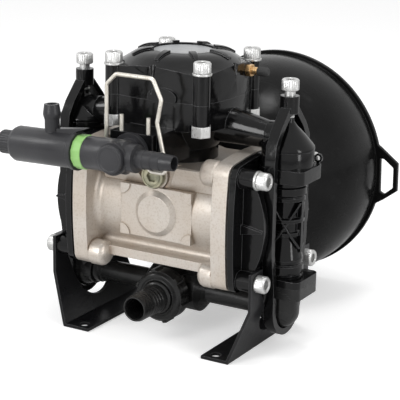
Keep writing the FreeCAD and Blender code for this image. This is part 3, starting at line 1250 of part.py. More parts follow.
def shaft_guard():
    """Bowl round the driven end: flat floor on the cover, flaring wall, rolled lip and a side ear."""
    floor_y = rear_face_y + cover_thickness
    lip_y = guard_end_y - 5
    outer = Part.Arc(*guard_profile_arc(0, guard_floor_radius, floor_y, lip_y)).toShape()
    inner = Part.Arc(*guard_profile_arc(guard_wall, guard_floor_radius - 3, floor_y + guard_wall,
                                        guard_end_y)).toShape()
    corners = [V(guard_floor_radius, 0, floor_y), V(guard_inner_radius, 0, floor_y),
               V(guard_inner_radius, 0, floor_y + guard_wall), V(guard_floor_radius - 3, 0, floor_y + guard_wall)]
    rolled = [V(guard_rim_radius - guard_wall, 0, guard_end_y), V(guard_lip_radius, 0, guard_end_y),
              V(guard_lip_radius, 0, lip_y), V(guard_rim_radius, 0, lip_y)]
    edges = [Part.LineSegment(a, b).toShape() for a, b in zip(corners, corners[1:])] + [inner]
    edges += [Part.LineSegment(a, b).toShape() for a, b in zip(rolled, rolled[1:])] + [outer]
    bowl = Part.Face(Part.Wire(Part.__sortEdges__(edges))).revolve(ORIGIN, ALONG_Z, 360)
    bowl.Placement = FreeCAD.Placement(V(0, 0, axis_height), FreeCAD.Rotation(ALONG_Z, ALONG_Y))
    lip, reach = guard_lip_radius, guard_ear
    ear_outer = prism([V(lip - 8.5, lip_y, axis_height + 33), V(lip - 1.5, lip_y, axis_height + 29),
                       V(lip + reach - 0.5, lip_y, axis_height + 14), V(lip + reach, lip_y, axis_height - 15),
                       V(lip + 4.5, lip_y, axis_height - 26), V(lip - 6.5, lip_y, axis_height - 33)], V(0, 5, 0))
    ear_hole = prism([V(lip - 0.5, lip_y - 1, axis_height + 17), V(lip + 3.5, lip_y - 1, axis_height + 17),
                      V(lip + reach - 5, lip_y - 1, axis_height + 9), V(lip + reach - 4.5, lip_y - 1, axis_height - 12),
                      V(lip + 5, lip_y - 1, axis_height - 20), V(lip + 0.5, lip_y - 1, axis_height - 18)], V(0, 7, 0))
    inside = rod(guard_lip_radius - 1, V(0, lip_y - 1, axis_height), V(0, guard_end_y + 1, axis_height))
    solid = bowl.fuse(ear_outer.cut(ear_hole).cut(inside))
    holes = [rod(m6_shank + hole_gap, V(x, floor_y - 1, z), V(x, floor_y + guard_wall + 1, z))
             for x, z in guard_screw_places()]
    return solid.cut(Part.makeCompound(holes))


def guard_screws():
    """Screws through guard and cover into the crankcase."""
    seat = rear_face_y + cover_thickness + guard_wall
    return Part.makeCompound([socket_screw(V(x, seat, z), V(0, -1, 0), seat - rear_face_y + 12, m6_shank,
                                           m6_head_radius, m6_head_height, 5.0)
                              for x, z in guard_screw_places()])


def all_nodes():
    """Every piece by its name."""
    head, foot, yoke = right_head(), right_foot(), right_yoke()
    delivery, suction, diaphragm = right_delivery_elbow(), right_suction_elbow(), right_diaphragm()
    nodes = {
        "crankcase": crankcase(), "rear_cover": rear_cover(),
        "front_bearing": sealed_bearing(front_bearing_bore, front_bearing_radius, front_bearing_width,
                                        chamber_front_y - front_bearing_width),
        "rear_bearing": sealed_bearing(rear_bearing_bore, rear_bearing_radius, rear_bearing_width,
                                       rear_bearing_start()),
        "bearing_inner_rings": bearing_inner_rings(), "shaft_seal": shaft_seal(), "drive_shaft": drive_shaft(),
        "eccentric_ring": eccentric_ring(), "piston_yoke": piston_yoke(), "pistons": pistons(),
        "cylinder_liners": cylinder_liners(), "clamp_discs": clamp_discs(), "disc_screws": disc_screws(),
        "right_diaphragm": diaphragm, "left_diaphragm": mirrored(diaphragm),
        "right_head": head, "left_head": mirrored(head), "head_screws": head_screws(), "washers": washers(),
        "right_foot": foot, "left_foot": mirrored(foot), "right_yoke": yoke, "left_yoke": mirrored(yoke),
        "yoke_screws": yoke_screws(), "valve_seats": valve_seats(), "valve_cages": valve_cages(),
        "right_delivery_elbow": delivery, "left_delivery_elbow": mirrored(delivery),
        "delivery_manifold": delivery_manifold(), "damper_membrane": damper_membrane(),
        "damper_cap": damper_cap(), "cap_disc": cap_disc(), "damper_screws": damper_screws(),
        "damper_nuts": damper_nuts(), "air_valve": air_valve(), "air_valve_cap": air_valve_cap(),
        "right_suction_elbow": suction, "left_suction_elbow": mirrored(suction),
        "suction_manifold": suction_manifold(), "union_nut": union_nut(), "hose_tail": hose_tail(),
        "relief_body": relief_body(), "pressure_knob": pressure_knob(), "relief_poppet": relief_poppet(),
        "relief_spring": relief_spring(), "green_ring": green_ring(), "relief_tee": relief_tee(),
        "tee_plug": tee_plug(), "retaining_fork": retaining_fork(), "oil_plug": oil_plug(),
        "shaft_guard": shaft_guard(), "guard_screws": guard_screws(),
    }
    for side, hand in ((-1, "left"), (1, "right")):
        for seat_z, use in ((suction_seat_z, "suction"), (delivery_seat_z, "delivery")):
            nodes[f"{hand}_{use}_plate"] = valve_plate(side, seat_z)
            nodes[f"{hand}_{use}_spring"] = valve_spring(side, seat_z)
    return nodes


for name, shape in all_nodes().items():
    shape.exportStep(f"parts/{name}.step")
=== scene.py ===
"""Piston diaphragm pump with its relief valve and shaft guard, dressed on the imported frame."""

import json
import logging
import math
from dataclasses import dataclass
from enum import Enum
from typing import Callable, Sequence

import bmesh
import bpy
from mathutils import Matrix, Vector
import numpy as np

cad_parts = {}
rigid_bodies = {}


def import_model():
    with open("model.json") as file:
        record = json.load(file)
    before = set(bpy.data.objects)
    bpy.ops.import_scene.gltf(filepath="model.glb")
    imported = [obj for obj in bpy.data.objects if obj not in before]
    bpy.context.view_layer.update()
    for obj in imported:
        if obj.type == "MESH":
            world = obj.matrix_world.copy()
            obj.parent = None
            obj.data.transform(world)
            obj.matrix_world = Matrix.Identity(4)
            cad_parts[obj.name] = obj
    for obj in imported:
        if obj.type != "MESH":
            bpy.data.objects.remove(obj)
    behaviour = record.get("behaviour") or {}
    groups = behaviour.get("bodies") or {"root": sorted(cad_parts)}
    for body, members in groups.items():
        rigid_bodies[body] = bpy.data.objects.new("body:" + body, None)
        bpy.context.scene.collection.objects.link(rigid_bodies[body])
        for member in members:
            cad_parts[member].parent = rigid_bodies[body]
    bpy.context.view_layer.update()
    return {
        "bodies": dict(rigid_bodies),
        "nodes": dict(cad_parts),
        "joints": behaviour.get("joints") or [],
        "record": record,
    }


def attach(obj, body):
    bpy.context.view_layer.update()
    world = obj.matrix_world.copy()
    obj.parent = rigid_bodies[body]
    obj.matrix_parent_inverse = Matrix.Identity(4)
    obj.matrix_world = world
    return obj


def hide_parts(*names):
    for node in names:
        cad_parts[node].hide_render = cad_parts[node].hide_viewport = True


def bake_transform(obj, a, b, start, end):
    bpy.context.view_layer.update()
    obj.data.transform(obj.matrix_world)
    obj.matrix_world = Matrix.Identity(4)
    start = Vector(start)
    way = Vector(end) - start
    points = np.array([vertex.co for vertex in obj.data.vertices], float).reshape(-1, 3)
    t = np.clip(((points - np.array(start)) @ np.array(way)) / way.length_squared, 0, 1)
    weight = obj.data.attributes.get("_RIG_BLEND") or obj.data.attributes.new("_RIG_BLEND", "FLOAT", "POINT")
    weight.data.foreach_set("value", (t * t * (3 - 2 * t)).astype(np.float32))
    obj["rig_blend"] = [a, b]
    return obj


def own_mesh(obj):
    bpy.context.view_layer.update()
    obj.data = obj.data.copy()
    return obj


LOG = logging.getLogger("pump")
MM = 0.001
WELD = 0.000004  # metres under which two points are one
TOWER_X = 110.5  # millimetres from the middle plane to a valve tower's axis
AXIS_Z = 123.0  # height of the shaft and piston axis
Colour = tuple[float, float, float]
Point = tuple[float, float, float]
Section = Sequence[tuple[float, float]]
Ring = tuple[Callable[[float], float], float]


class Side(Enum):
    """Sides of the pump, each with the sign of its X."""

    LEFT = -1
    RIGHT = 1

    def __str__(self) -> str:
        """Word that the names of the side's pieces start with."""
        return self.name.lower()


class Axis(Enum):
    """Axes of the frame, each with its place in a vector."""

    X = 0
    Y = 1
    Z = 2


class Slot(Enum):
    """Material slots of the record."""

    CAST_ALLOY = "cast_aluminium"
    MACHINED_ALLOY = "machined_aluminium"
    GLOSS_PAINT = "black_gloss"
    SHEET_PAINT = "black_satin_sheet"
    GUARD_PLASTIC = "black_guard"
    BLACK_PLASTIC = "black_plastic"
    GREY_PLASTIC = "grey_plastic"
    GREEN_PLASTIC = "green_plastic"
    ZINC = "zinc"
    YELLOW_ZINC = "yellow_zinc"
    STEEL = "steel"
    WIRE = "stainless_wire"
    BRASS = "brass"
    RUBBER = "rubber"
    DISC = "disc_grey"
    WHITE_PLASTIC = "white_plastic"


class MaterialSketch:
    """Node tree of one material, with short calls for the nodes that it is built of."""

    def __init__(self, name: str, rounding: float = 0.0007) -> None:
        """Starts a material with a Principled surface, object coordinates and softened edges.

        Args:
            name: name of the material.
            rounding: radius of the softened edges in metres.
        """
        self.material = bpy.data.materials.new(name)
        self.material.use_nodes = True
        self.tree = self.material.node_tree
        self.tree.nodes.clear()
        self.place = self.add("ShaderNodeTexCoord").outputs["Object"]
        self.rounded = self.add("ShaderNodeBevel", Radius=rounding).outputs["Normal"]
        self.surface = self.add("ShaderNodeBsdfPrincipled")
        output = self.add("ShaderNodeOutputMaterial")
        self.tree.links.new(self.surface.outputs["BSDF"], output.inputs["Surface"])

    def add(self, kind: str, **values: object) -> bpy.types.Node:
        """Adds a node.

        Args:
            kind: type name of the node.
            values: input values or source sockets, by input name with _ for blanks.

        Returns:
            The new node.
        """
        node = self.tree.nodes.new(kind)
        for name, value in values.items():
            socket = node.inputs[name.replace("_", " ")]
            if isinstance(value, bpy.types.NodeSocket):
                self.tree.links.new(value, socket)
            else:
                socket.default_value = value
        return node

    def noise(self, size: float, detail: float = 4.0, stretch: Vector | None = None) -> bpy.types.NodeSocket:
        """Adds a noise.

        Args:
            size: typical spot size in metres.
            detail: octaves of finer grain.
            stretch: factors by which the spots are longer along each axis.

        Returns:
            The noise's value.
        """
        place = self.place
        if stretch is not None:
            mapping = self.add("ShaderNodeMapping", Vector=self.place)
            mapping.inputs["Scale"].default_value = [1 / s for s in stretch]
            place = mapping.outputs["Vector"]
        return self.add("ShaderNodeTexNoise", Vector=place, Scale=0.6 / size, Detail=detail).outputs["Fac"]

    def remap(self, value: bpy.types.NodeSocket, source: tuple[float, float],
              target: tuple[float, float]) -> bpy.types.NodeSocket:
        """Maps a range of a value to another, clamped.

        Args:
            value: socket to read.
            source: range that is read.
            target: range that comes out.

        Returns:
            The mapped value.
        """
        node = self.add("ShaderNodeMapRange", Value=value)
        for name, number in zip(("From Min", "From Max", "To Min", "To Max"), source + target):
            node.inputs[name].default_value = number
        return node.outputs["Result"]

    def blend(self, factor: bpy.types.NodeSocket, first: object, second: object) -> bpy.types.NodeSocket:
        """Mixes two colours.

        Args:
            factor: share of the second colour.
            first: colour or socket.
            second: colour or socket.

        Returns:
            The mixed colour.
        """
        node = self.tree.nodes.new("ShaderNodeMix")
        node.data_type = "RGBA"
        self.tree.links.new(factor, node.inputs["Factor"])
        for socket, value in ((node.inputs[6], first), (node.inputs[7], second)):
            if isinstance(value, bpy.types.NodeSocket):
                self.tree.links.new(value, socket)
            else:
                socket.default_value = (*value, 1.0)
        return node.outputs[2]

    def recesses(self, reach: float) -> bpy.types.NodeSocket:
        """Share of open sky over the surface, low in corners and pockets.

        Args:
            reach: size in metres of the pockets that count.

        Returns:
            The share as a value.
        """
        node = self.add("ShaderNodeAmbientOcclusion", Distance=reach)
        node.samples = 6
        node.only_local = True
        return node.outputs["AO"]

    def edges(self) -> bpy.types.NodeSocket:
        """Share of edge, for wear and painted highlight: one on the edges of the rounding, nothing on open
        surface.

        Returns:
            The share as a value.
        """
        true_normal = self.add("ShaderNodeNewGeometry").outputs["Normal"]
        turn = self.add("ShaderNodeVectorMath")
        turn.operation = "DOT_PRODUCT"
        self.tree.links.new(self.rounded, turn.inputs[0])
        self.tree.links.new(true_normal, turn.inputs[1])
        return self.remap(turn.outputs["Value"], (0.8, 0.98), (1.0, 0.0))

    def roughen(self, heights: Sequence[tuple[bpy.types.NodeSocket, float]]) -> None:
        """Stacks bumps on the rounded surface.

        Args:
            heights: each height with its depth in metres.
        """
        normal = self.rounded
        for height, depth in heights:
            bump = self.add("ShaderNodeBump", Height=height, Strength=1.0, Distance=depth)
            self.tree.links.new(normal, bump.inputs["Normal"])
            normal = bump.outputs["Normal"]
        self.tree.links.new(normal, self.surface.inputs["Normal"])

    def connect(self, **sockets: bpy.types.NodeSocket) -> None:
        """Feeds inputs of the surface, by name with _ for blanks."""
        for name, socket in sockets.items():
            self.tree.links.new(socket, self.surface.inputs[name.replace("_", " ")])


@dataclass(frozen=True)
class Finish:
    """Gloss and colour that every finish has."""

    slot: Slot
    colour: Colour
    shade: Colour
    roughness: float
    metallic: float = 0.0
    specular: float = 0.5
    rounding: float = 0.0007

    def material(self) -> bpy.types.Material:
        """Builds the material of this finish.

        Returns:
            The material, named after its slot.
        """
        sketch = MaterialSketch(self.slot.value, self.rounding)
        surface = sketch.surface.inputs
        surface["Metallic"].default_value = self.metallic
        surface["Specular IOR Level"].default_value = self.specular
        self.grain(sketch)
        return sketch.material

    def sheen(self, sketch: MaterialSketch, value: bpy.types.NodeSocket, source: tuple[float, float],
              below: float, above: float) -> bpy.types.NodeSocket:
        """Lets the roughness follow a value."""
        return sketch.remap(value, source, (self.roughness - below, self.roughness + above))

    def grain(self, sketch: MaterialSketch) -> None:
        """Colour variation, roughness and bump of the surface."""
        raise NotImplementedError


@dataclass(frozen=True)
class CastAlloy(Finish):
    """Blasted light alloy casting: sandy skin, warm stains, dirt and painted shade in the pockets, and pale
    edges of wear and painted highlight.
    """

    sand: float = 0.0011
    stain: Colour = (0.30, 0.22, 0.15)
    bright: Colour = (0.86, 0.83, 0.78)

    def grain(self, sketch: MaterialSketch) -> None:
        """Warm clouds, dirt and painted shade in the pockets, painted shade along creases, pale edges of wear
        and painted highlight, pores and a sandy bump.

        Args:
            sketch: material under construction.
        """
        clouds = sketch.noise(0.03, 3.0)
        sand = sketch.noise(self.sand, 6.0)
        pores = sketch.noise(0.0024, 2.0)
        body = sketch.blend(sketch.remap(clouds, (0.35, 0.68), (0.0, 1.0)), self.colour, self.shade)
        specks = sketch.remap(sand, (0.32, 0.5), (0.34, 0.0))
        speckled = sketch.blend(specks, body, self.stain)
        # Pockets darkened by occlusion towards the stain colour: part real dirt, part painted shade.
        dirt_and_shade = sketch.remap(sketch.recesses(0.007), (0.3, 0.9), (0.7, 0.0))
        # Painted shade along creases and tight corners, by short-reach occlusion.
        crease_shade = sketch.remap(sketch.recesses(0.0018), (0.45, 0.95), (0.75, 0.0))
        stained_and_shaded = sketch.blend(crease_shade, sketch.blend(dirt_and_shade, speckled, self.stain), self.stain)
        # Pale edges: part wear, part painted highlight.
        rubbed_and_highlit = sketch.remap(sketch.edges(), (0.0, 1.0), (0.0, 0.6))
        sketch.connect(Base_Color=sketch.blend(rubbed_and_highlit, stained_and_shaded, self.bright),
                       Roughness=self.sheen(sketch, clouds, (0.3, 0.7), 0.07, 0.09))
        sketch.roughen([(sand, 0.00008), (pores, 0.00008), (clouds, 0.0005)])


@dataclass(frozen=True)
class GlossPaint(Finish):
    """Gloss enamel on a casting: orange peel, dust, matt patches and pale edges of thin paint and painted
    highlight.
    """

    peel: float = 0.004

    def grain(self, sketch: MaterialSketch) -> None:
        """Slow orange peel over a cast skin, a breath of dust on it, and pale edges that are part thin paint,
        part painted highlight.

        Args:
            sketch: material under construction.
        """
        peel = sketch.noise(self.peel, 2.0)
        clouds = sketch.noise(0.04, 4.0)
        dust = sketch.noise(0.0016, 6.0)
        film = sketch.remap(clouds, (0.45, 0.75), (0.0, 0.5))
        specks = sketch.remap(dust, (0.66, 0.78), (0.0, 0.1))
        base = sketch.blend(film, self.colour, self.shade)
        dusty = sketch.blend(specks, base, (0.11, 0.108, 0.105))
        # Grey edges: part thin worn paint, part painted highlight.
        thin_paint_and_highlight = sketch.remap(sketch.edges(), (0.0, 1.0), (0.0, 0.8))
        sketch.connect(Base_Color=sketch.blend(thin_paint_and_highlight, dusty, (0.13, 0.13, 0.135)),
                       Roughness=self.sheen(sketch, clouds, (0.3, 0.7), 0.0, 0.12))
        sketch.roughen([(peel, 0.00014), (dust, 0.00002), (clouds, 0.0006)])


@dataclass(frozen=True)
class MouldedPlastic(Finish):
    """Moulded plastic: fine spark grain, faint flow lines, scuffs."""

    grain_size: float = 0.0009
    depth: float = 0.00006

    def grain(self, sketch: MaterialSketch) -> None:
        """Spark grain with slow shine changes and light scuffs.

        Args:
            sketch: material under construction.
        """
        spark = sketch.noise(self.grain_size, 3.0)
        clouds = sketch.noise(0.025, 3.0)
        scuff = sketch.noise(0.006, 5.0, Vector((4.0, 1.0, 1.0)))
        body = sketch.blend(sketch.remap(clouds, (0.35, 0.7), (0.0, 1.0)), self.colour, self.shade)
        lighter = tuple(min(1.0, c * 1.8 + 0.02) for c in self.colour)
        sketch.connect(Base_Color=sketch.blend(sketch.remap(scuff, (0.66, 0.8), (0.0, 0.35)), body, lighter),
                       Roughness=self.sheen(sketch, scuff, (0.35, 0.75), 0.05, 0.12))
        sketch.roughen([(spark, self.depth), (clouds, 0.0003)])


@dataclass(frozen=True)
class PlatedSteel(Finish):
    """Zinc plated or ground steel: crystalline clouds, fine turning marks."""

    marks: float = 0.0007
    tint: Colour = (0.42, 0.41, 0.4)

    def grain(self, sketch: MaterialSketch) -> None:
        """Plating clouds, darkening towards the tint in recesses and corners, handling marks in the shine,
        and a fine satin bump.

        Args:
            sketch: material under construction.
        """
        clouds = sketch.noise(0.005, 5.0)
        marks = sketch.noise(self.marks, 4.0, Vector((1.0, 1.0, 3.0)))
        body = sketch.blend(sketch.remap(clouds, (0.38, 0.66), (0.0, 1.0)), self.colour, self.shade)
        # Darker towards the tint colour in recesses and corners, where occlusion is high.
        recess_darkening = sketch.remap(sketch.recesses(0.0025), (0.3, 0.9), (0.7, 0.0))
        sketch.connect(Base_Color=sketch.blend(recess_darkening, body, self.tint),
                       Roughness=self.sheen(sketch, marks, (0.3, 0.7), 0.06, 0.1))
        sketch.roughen([(marks, 0.00004), (clouds, 0.00006)])


@dataclass(frozen=True)
class SoftRubber(Finish):
    """Matt rubber with a bloom of chalk."""

    def grain(self, sketch: MaterialSketch) -> None:
        """Chalky bloom and a leathery bump.

        Args:
            sketch: material under construction.
        """
        bloom = sketch.noise(0.008, 5.0)
        skin = sketch.noise(0.0012, 3.0)
        chalky = sketch.remap(bloom, (0.45, 0.75), (0.0, 1.0))
        sketch.connect(Base_Color=sketch.blend(chalky, self.colour, self.shade),
                       Roughness=self.sheen(sketch, bloom, (0.3, 0.7), 0.05, 0.05))
        sketch.roughen([(skin, 0.00008)])


FINISHES: tuple[Finish, ...] = (
    CastAlloy(Slot.CAST_ALLOY, (0.55, 0.51, 0.465), (0.48, 0.42, 0.36), 0.38, metallic=0.5, specular=0.4),
    PlatedSteel(Slot.MACHINED_ALLOY, (0.62, 0.62, 0.63), (0.55, 0.55, 0.56), 0.32, metallic=0.9),
    GlossPaint(Slot.GLOSS_PAINT, (0.003, 0.003, 0.0032), (0.006, 0.006, 0.0065), 0.07, specular=0.25),
    GlossPaint(Slot.SHEET_PAINT, (0.008, 0.008, 0.009), (0.012, 0.012, 0.012), 0.24, specular=0.2,
               peel=0.0022),
    MouldedPlastic(Slot.GUARD_PLASTIC, (0.005, 0.005, 0.005), (0.009, 0.009, 0.009), 0.22, specular=0.09),
    MouldedPlastic(Slot.BLACK_PLASTIC, (0.009, 0.009, 0.009), (0.015, 0.015, 0.015), 0.24, specular=0.28),
    MouldedPlastic(Slot.GREY_PLASTIC, (0.019, 0.019, 0.021), (0.031, 0.031, 0.034), 0.34, specular=0.3,
                   depth=0.00008),
    MouldedPlastic(Slot.GREEN_PLASTIC, (0.21, 0.42, 0.12), (0.26, 0.47, 0.16), 0.4),
    PlatedSteel(Slot.ZINC, (0.60, 0.60, 0.595), (0.5, 0.5, 0.49), 0.3, metallic=0.8),
    PlatedSteel(Slot.YELLOW_ZINC, (0.42, 0.4, 0.28), (0.22, 0.22, 0.16), 0.36, metallic=0.6,
                tint=(0.14, 0.13, 0.08)),
    PlatedSteel(Slot.STEEL, (0.5, 0.5, 0.5), (0.42, 0.42, 0.43), 0.26, metallic=0.95),
    PlatedSteel(Slot.WIRE, (0.68, 0.65, 0.59), (0.56, 0.53, 0.47), 0.32, metallic=0.7),
    PlatedSteel(Slot.BRASS, (0.70, 0.46, 0.22), (0.6, 0.38, 0.18), 0.28, metallic=0.9,
                tint=(0.2, 0.12, 0.05)),
    SoftRubber(Slot.RUBBER, (0.012, 0.012, 0.012), (0.03, 0.03, 0.03), 0.7),
    MouldedPlastic(Slot.DISC, (0.34, 0.345, 0.35), (0.27, 0.28, 0.29), 0.38, grain_size=0.0016, depth=0.0001),
    MouldedPlastic(Slot.WHITE_PLASTIC, (0.75, 0.74, 0.7), (0.68, 0.67, 0.63), 0.4),
)


class Workshop:
    """Materials by slot, and the ways in which pieces are made and handed to the frame."""

    flat: float = 0.4

    def __init__(self, frame: dict) -> None:
        """Builds the materials and dresses every CAD node in its record's slot.
        """
        self.frame = frame
        self.materials = {finish.slot: finish.material() for finish in FINISHES}
        self.body_of = {node: body for body, nodes in frame["record"]["behaviour"]["bodies"].items()
                        for node in nodes}
        self.slot_of = {row["node"]: Slot(row["material_slot"]) for row in frame["record"]["subparts"]}
        for node, piece in frame["nodes"].items():
            self.paint(piece, self.slot_of[node])

    def paint(self, piece: bpy.types.Object, slot: Slot) -> None:
        """Gives a piece the material of a slot."""
        piece.data.materials.clear()
        piece.data.materials.append(self.materials[slot])

    def solids(self, node: str) -> list[tuple[Vector, Vector]]:
        """Finds the boxes of the separate solids of a CAD node.

        Args:
            node: CAD node.

        Returns:
            Lowest and highest corners, in the order of the lowest.
        """
        form = self.merged(node)
        left, boxes = set(form.verts), []
        while left:
            heap, island = [left.pop()], []
            while heap:
                vertex = heap.pop()
                island.append(vertex.co)
                for edge in vertex.link_edges:
                    other = edge.other_vert(vertex)
                    if other in left:
                        left.remove(other)
                        heap.append(other)
            low = Vector(min(p[k] for p in island) for k in range(3))
            high = Vector(max(p[k] for p in island) for k in range(3))
            boxes.append((low, high))
        form.free()
        return sorted(boxes, key=lambda box: tuple(round(v, 4) for v in box[0]))

    def merged(self, node: str) -> bmesh.types.BMesh:
        """Copies a CAD node's mesh with its doubles merged and its flats joined.

        Args:
            node: CAD node.

        Returns:
            The mesh, which the caller frees.
        """
        form = bmesh.new()
        form.from_mesh(self.frame["nodes"][node].data)
        bmesh.ops.remove_doubles(form, verts=form.verts, dist=WELD)
        bmesh.ops.dissolve_limit(form, angle_limit=math.radians(self.flat), verts=form.verts,
                                 edges=form.edges)
        bmesh.ops.triangulate(form, faces=[face for face in form.faces if len(face.verts) > 4])
        return form

    def hand_over(self, piece: bpy.types.Object, node: str, body: str | None = None) -> bpy.types.Object:
        """Lets a piece stand for a CAD node and ride with it.

        Args:
            piece: finished piece in its place.
            node: CAD node that it replaces.
            body: body that it rides on, where that isn't the node's own.

        Returns:
            The same piece.
        """
        if not piece.data.materials:
            self.paint(piece, self.slot_of[node])
        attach(piece, body or self.body_of[node])
        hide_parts(node)
        LOG.info("%s: %d faces, stands for %s", piece.name, len(piece.data.polygons), node)
        return piece

    def set_on(self, piece: bpy.types.Object, node: str) -> bpy.types.Object:
        """Lets a piece ride with a CAD node that stays as it is.

        Args:
            piece: finished piece in its place.
            node: CAD node that carries it.

        Returns:
            The same piece.
        """
        if not piece.data.materials:
            self.paint(piece, self.slot_of[node])
        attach(piece, self.body_of[node])
        LOG.info("%s: %d faces, set on %s", piece.name, len(piece.data.polygons), node)
        return piece

    def copied(self, node: str, name: str) -> bpy.types.Object:
        """Makes a new object of a CAD node's merged mesh.

        Args:
            node: CAD node.
            name: name of the new piece.

        Returns:
            The piece, smooth all over.
        """
        mesh = bpy.data.meshes.new(name)
        form = self.merged(node)
        form.to_mesh(mesh)
        form.free()
        for layer in [a.name for a in mesh.attributes if "normal" in a.name]:
            mesh.attributes.remove(mesh.attributes[layer])
        mesh.shade_smooth()
        piece = bpy.data.objects.new(name, mesh)
        bpy.context.scene.collection.objects.link(piece)
        return piece

    def carried(self, node: str, name: str, rounding: float, crease: float = 32.0) -> bpy.types.Object:
        """Takes a CAD node over as a casting or moulding with rounded edges.

        Args:
            node: CAD node.
            name: name of the new piece.
            rounding: edge rounding in millimetres.
            crease: angle in degrees above which an edge is rounded.

        Returns:
            The piece that stands for the node.
        """
        piece = self.copied(node, name)
        bevel = piece.modifiers.new("rounding", "BEVEL")
        bevel.width = rounding * MM
        bevel.segments = 2
        bevel.limit_method = "ANGLE"
        bevel.angle_limit = math.radians(crease)
        bevel.harden_normals = True
        bevel.use_clamp_overlap = True
        bevel.miter_outer = "MITER_ARC"
        return self.hand_over(piece, node)


class TreeSketch:
    """Geometry node group under construction, with short calls for its sockets and nodes."""

    def __init__(self, name: str) -> None:
        """Starts a group that takes and gives a geometry.

        Args:
            name: name of the group.
        """
        self.group = bpy.data.node_groups.new(name, "GeometryNodeTree")
        for way in ("INPUT", "OUTPUT"):
            self.group.interface.new_socket("Geometry", in_out=way, socket_type="NodeSocketGeometry")
        self.start = self.group.nodes.new("NodeGroupInput")
        self.end = self.group.nodes.new("NodeGroupOutput")
        self.values: dict[str, object] = {}

    def size(self, name: str, value: object, kind: str = "NodeSocketFloat") -> bpy.types.NodeSocket:
        """Adds a named input of the tree.

        Args:
            name: name of the input.
            value: value that it gets when the tree runs.
            kind: type name of its socket.

        Returns:
            The input's socket inside the tree.
        """
        self.group.interface.new_socket(name, in_out="INPUT", socket_type=kind)
        self.values[name] = value
        return self.start.outputs[name]

    def add(self, kind: str, settings: dict[str, object] | None = None, **values: object) -> bpy.types.Node:
        """Adds a node.

        Args:
            kind: type name of the node.
            settings: properties set on the node before its inputs.
            values: input values or source sockets, by input name with _ for blanks.

        Returns:
            The new node.
        """
        node = self.group.nodes.new(kind)
        for name, value in (settings or {}).items():
            setattr(node, name, value)
        for name, value in values.items():
            socket = next(s for s in node.inputs if s.name == name.replace("_", " ") and s.enabled)
            if isinstance(value, bpy.types.NodeSocket):
                self.group.links.new(value, socket)
            else:
                socket.default_value = value
        return node

    def set_round(self, pattern: bpy.types.Object, count: int, first: float, step: float,
                  axis: Axis = Axis.Z) -> bpy.types.NodeSocket:
        """Sets copies of a pattern round an axis through the origin.

        Args:
            pattern: object that is set round.
            count: number of copies.
            first: turn of the first copy in radians.
            step: turn from one copy to the next in radians.
            axis: axis that they stand round.

        Returns:
            The copies as real geometry.
        """
        source = self.size("Pattern", pattern, "NodeSocketObject")
        copies = self.size("Copies", count, "NodeSocketInt")
        spots = self.add("GeometryNodeMeshLine", Count=copies)
        spots.inputs["Offset"].default_value = (0.0, 0.0, 0.0)
        angle = self.add("ShaderNodeMath", {"operation": "MULTIPLY_ADD"})
        number = self.add("GeometryNodeInputIndex").outputs["Index"]
        for k, value in enumerate((number, self.size("Step", step), self.size("First", first))):
            self.group.links.new(value, angle.inputs[k])
        euler = self.add("ShaderNodeCombineXYZ", **{axis.name: angle.outputs[0]})
        turned = self.add("FunctionNodeEulerToRotation")
        self.group.links.new(euler.outputs[0], turned.inputs[0])
        shape = self.add("GeometryNodeObjectInfo", Object=source)
        copied = self.add("GeometryNodeInstanceOnPoints", Points=spots.outputs["Mesh"],
                          Instance=shape.outputs["Geometry"], Rotation=turned.outputs["Rotation"])
        real = self.add("GeometryNodeRealizeInstances", Geometry=copied.outputs["Instances"])
        return real.outputs["Geometry"]

    def close(self, geometry: bpy.types.NodeSocket, material: bpy.types.Material) -> None:
        """Ends the tree in real geometry with its material.

        Args:
            geometry: geometry or instances that the tree gives.
            material: material set on all of it.
        """
        real = self.add("GeometryNodeRealizeInstances", Geometry=geometry)
        painted = self.add("GeometryNodeSetMaterial", Geometry=real.outputs["Geometry"])
        painted.inputs["Material"].default_value = material
        self.group.links.new(painted.outputs["Geometry"], self.end.inputs["Geometry"])

    def grow(self, host: bpy.types.Object) -> bpy.types.Object:
        """Runs the tree on a host mesh and leaves the plain result in it.

        Args:
            host: object whose mesh the tree reads.

        Returns:
            The host with its new mesh.
        """
        modifier = host.modifiers.new("growth", "NODES")
        modifier.node_group = self.group
        for item in self.group.interface.items_tree:
            if item.in_out == "INPUT" and item.name in self.values:
                modifier[item.identifier] = self.values[item.name]
        graph = bpy.context.evaluated_depsgraph_get()
        mesh = bpy.data.meshes.new_from_object(host.evaluated_get(graph), depsgraph=graph)
        mesh.name = host.name
        host.modifiers.clear()
        host.data = mesh
        return host


def new_piece(name: str, points: Sequence[Vector], edges: Sequence[tuple[int, int]] = (),
              faces: Sequence[Sequence[int]] = ()) -> bpy.types.Object:
    """Links a new mesh object at the origin.

    Args:
        name: name of the object.
        points: vertices in metres.
        edges: pairs of vertices.
        faces: loops of vertices.

    Returns:
        The object.
    """
    mesh = bpy.data.meshes.new(name)
    mesh.from_pydata(points, edges, faces)
    mesh.update()
    piece = bpy.data.objects.new(name, mesh)
    bpy.context.scene.collection.objects.link(piece)
    return piece


def lofted(name: str, rings: Sequence[Ring], segments: int) -> bpy.types.Object:
    """Closed body through rings round Z.

    Args:
        name: name of the object.
        rings: radius by angle and height of each ring, in metres.
        segments: points of a ring.

    Returns:
        The object, smooth between its sharp edges.
    """
    turn = 2 * math.pi / segments
    points = [Vector((radius(k * turn) * math.cos(k * turn), radius(k * turn) * math.sin(k * turn), height))
              for radius, height in rings for k in range(segments)]
    faces = [(r * segments + k, r * segments + (k + 1) % segments, (r + 1) * segments + (k + 1) % segments,
              (r + 1) * segments + k) for r in range(len(rings) - 1) for k in range(segments)]
    faces.append(tuple(range(segments))[::-1])
    faces.append(tuple((len(rings) - 1) * segments + k for k in range(segments)))
    piece = new_piece(name, points, faces=faces)
    smooth_between_creases(piece)
    return piece


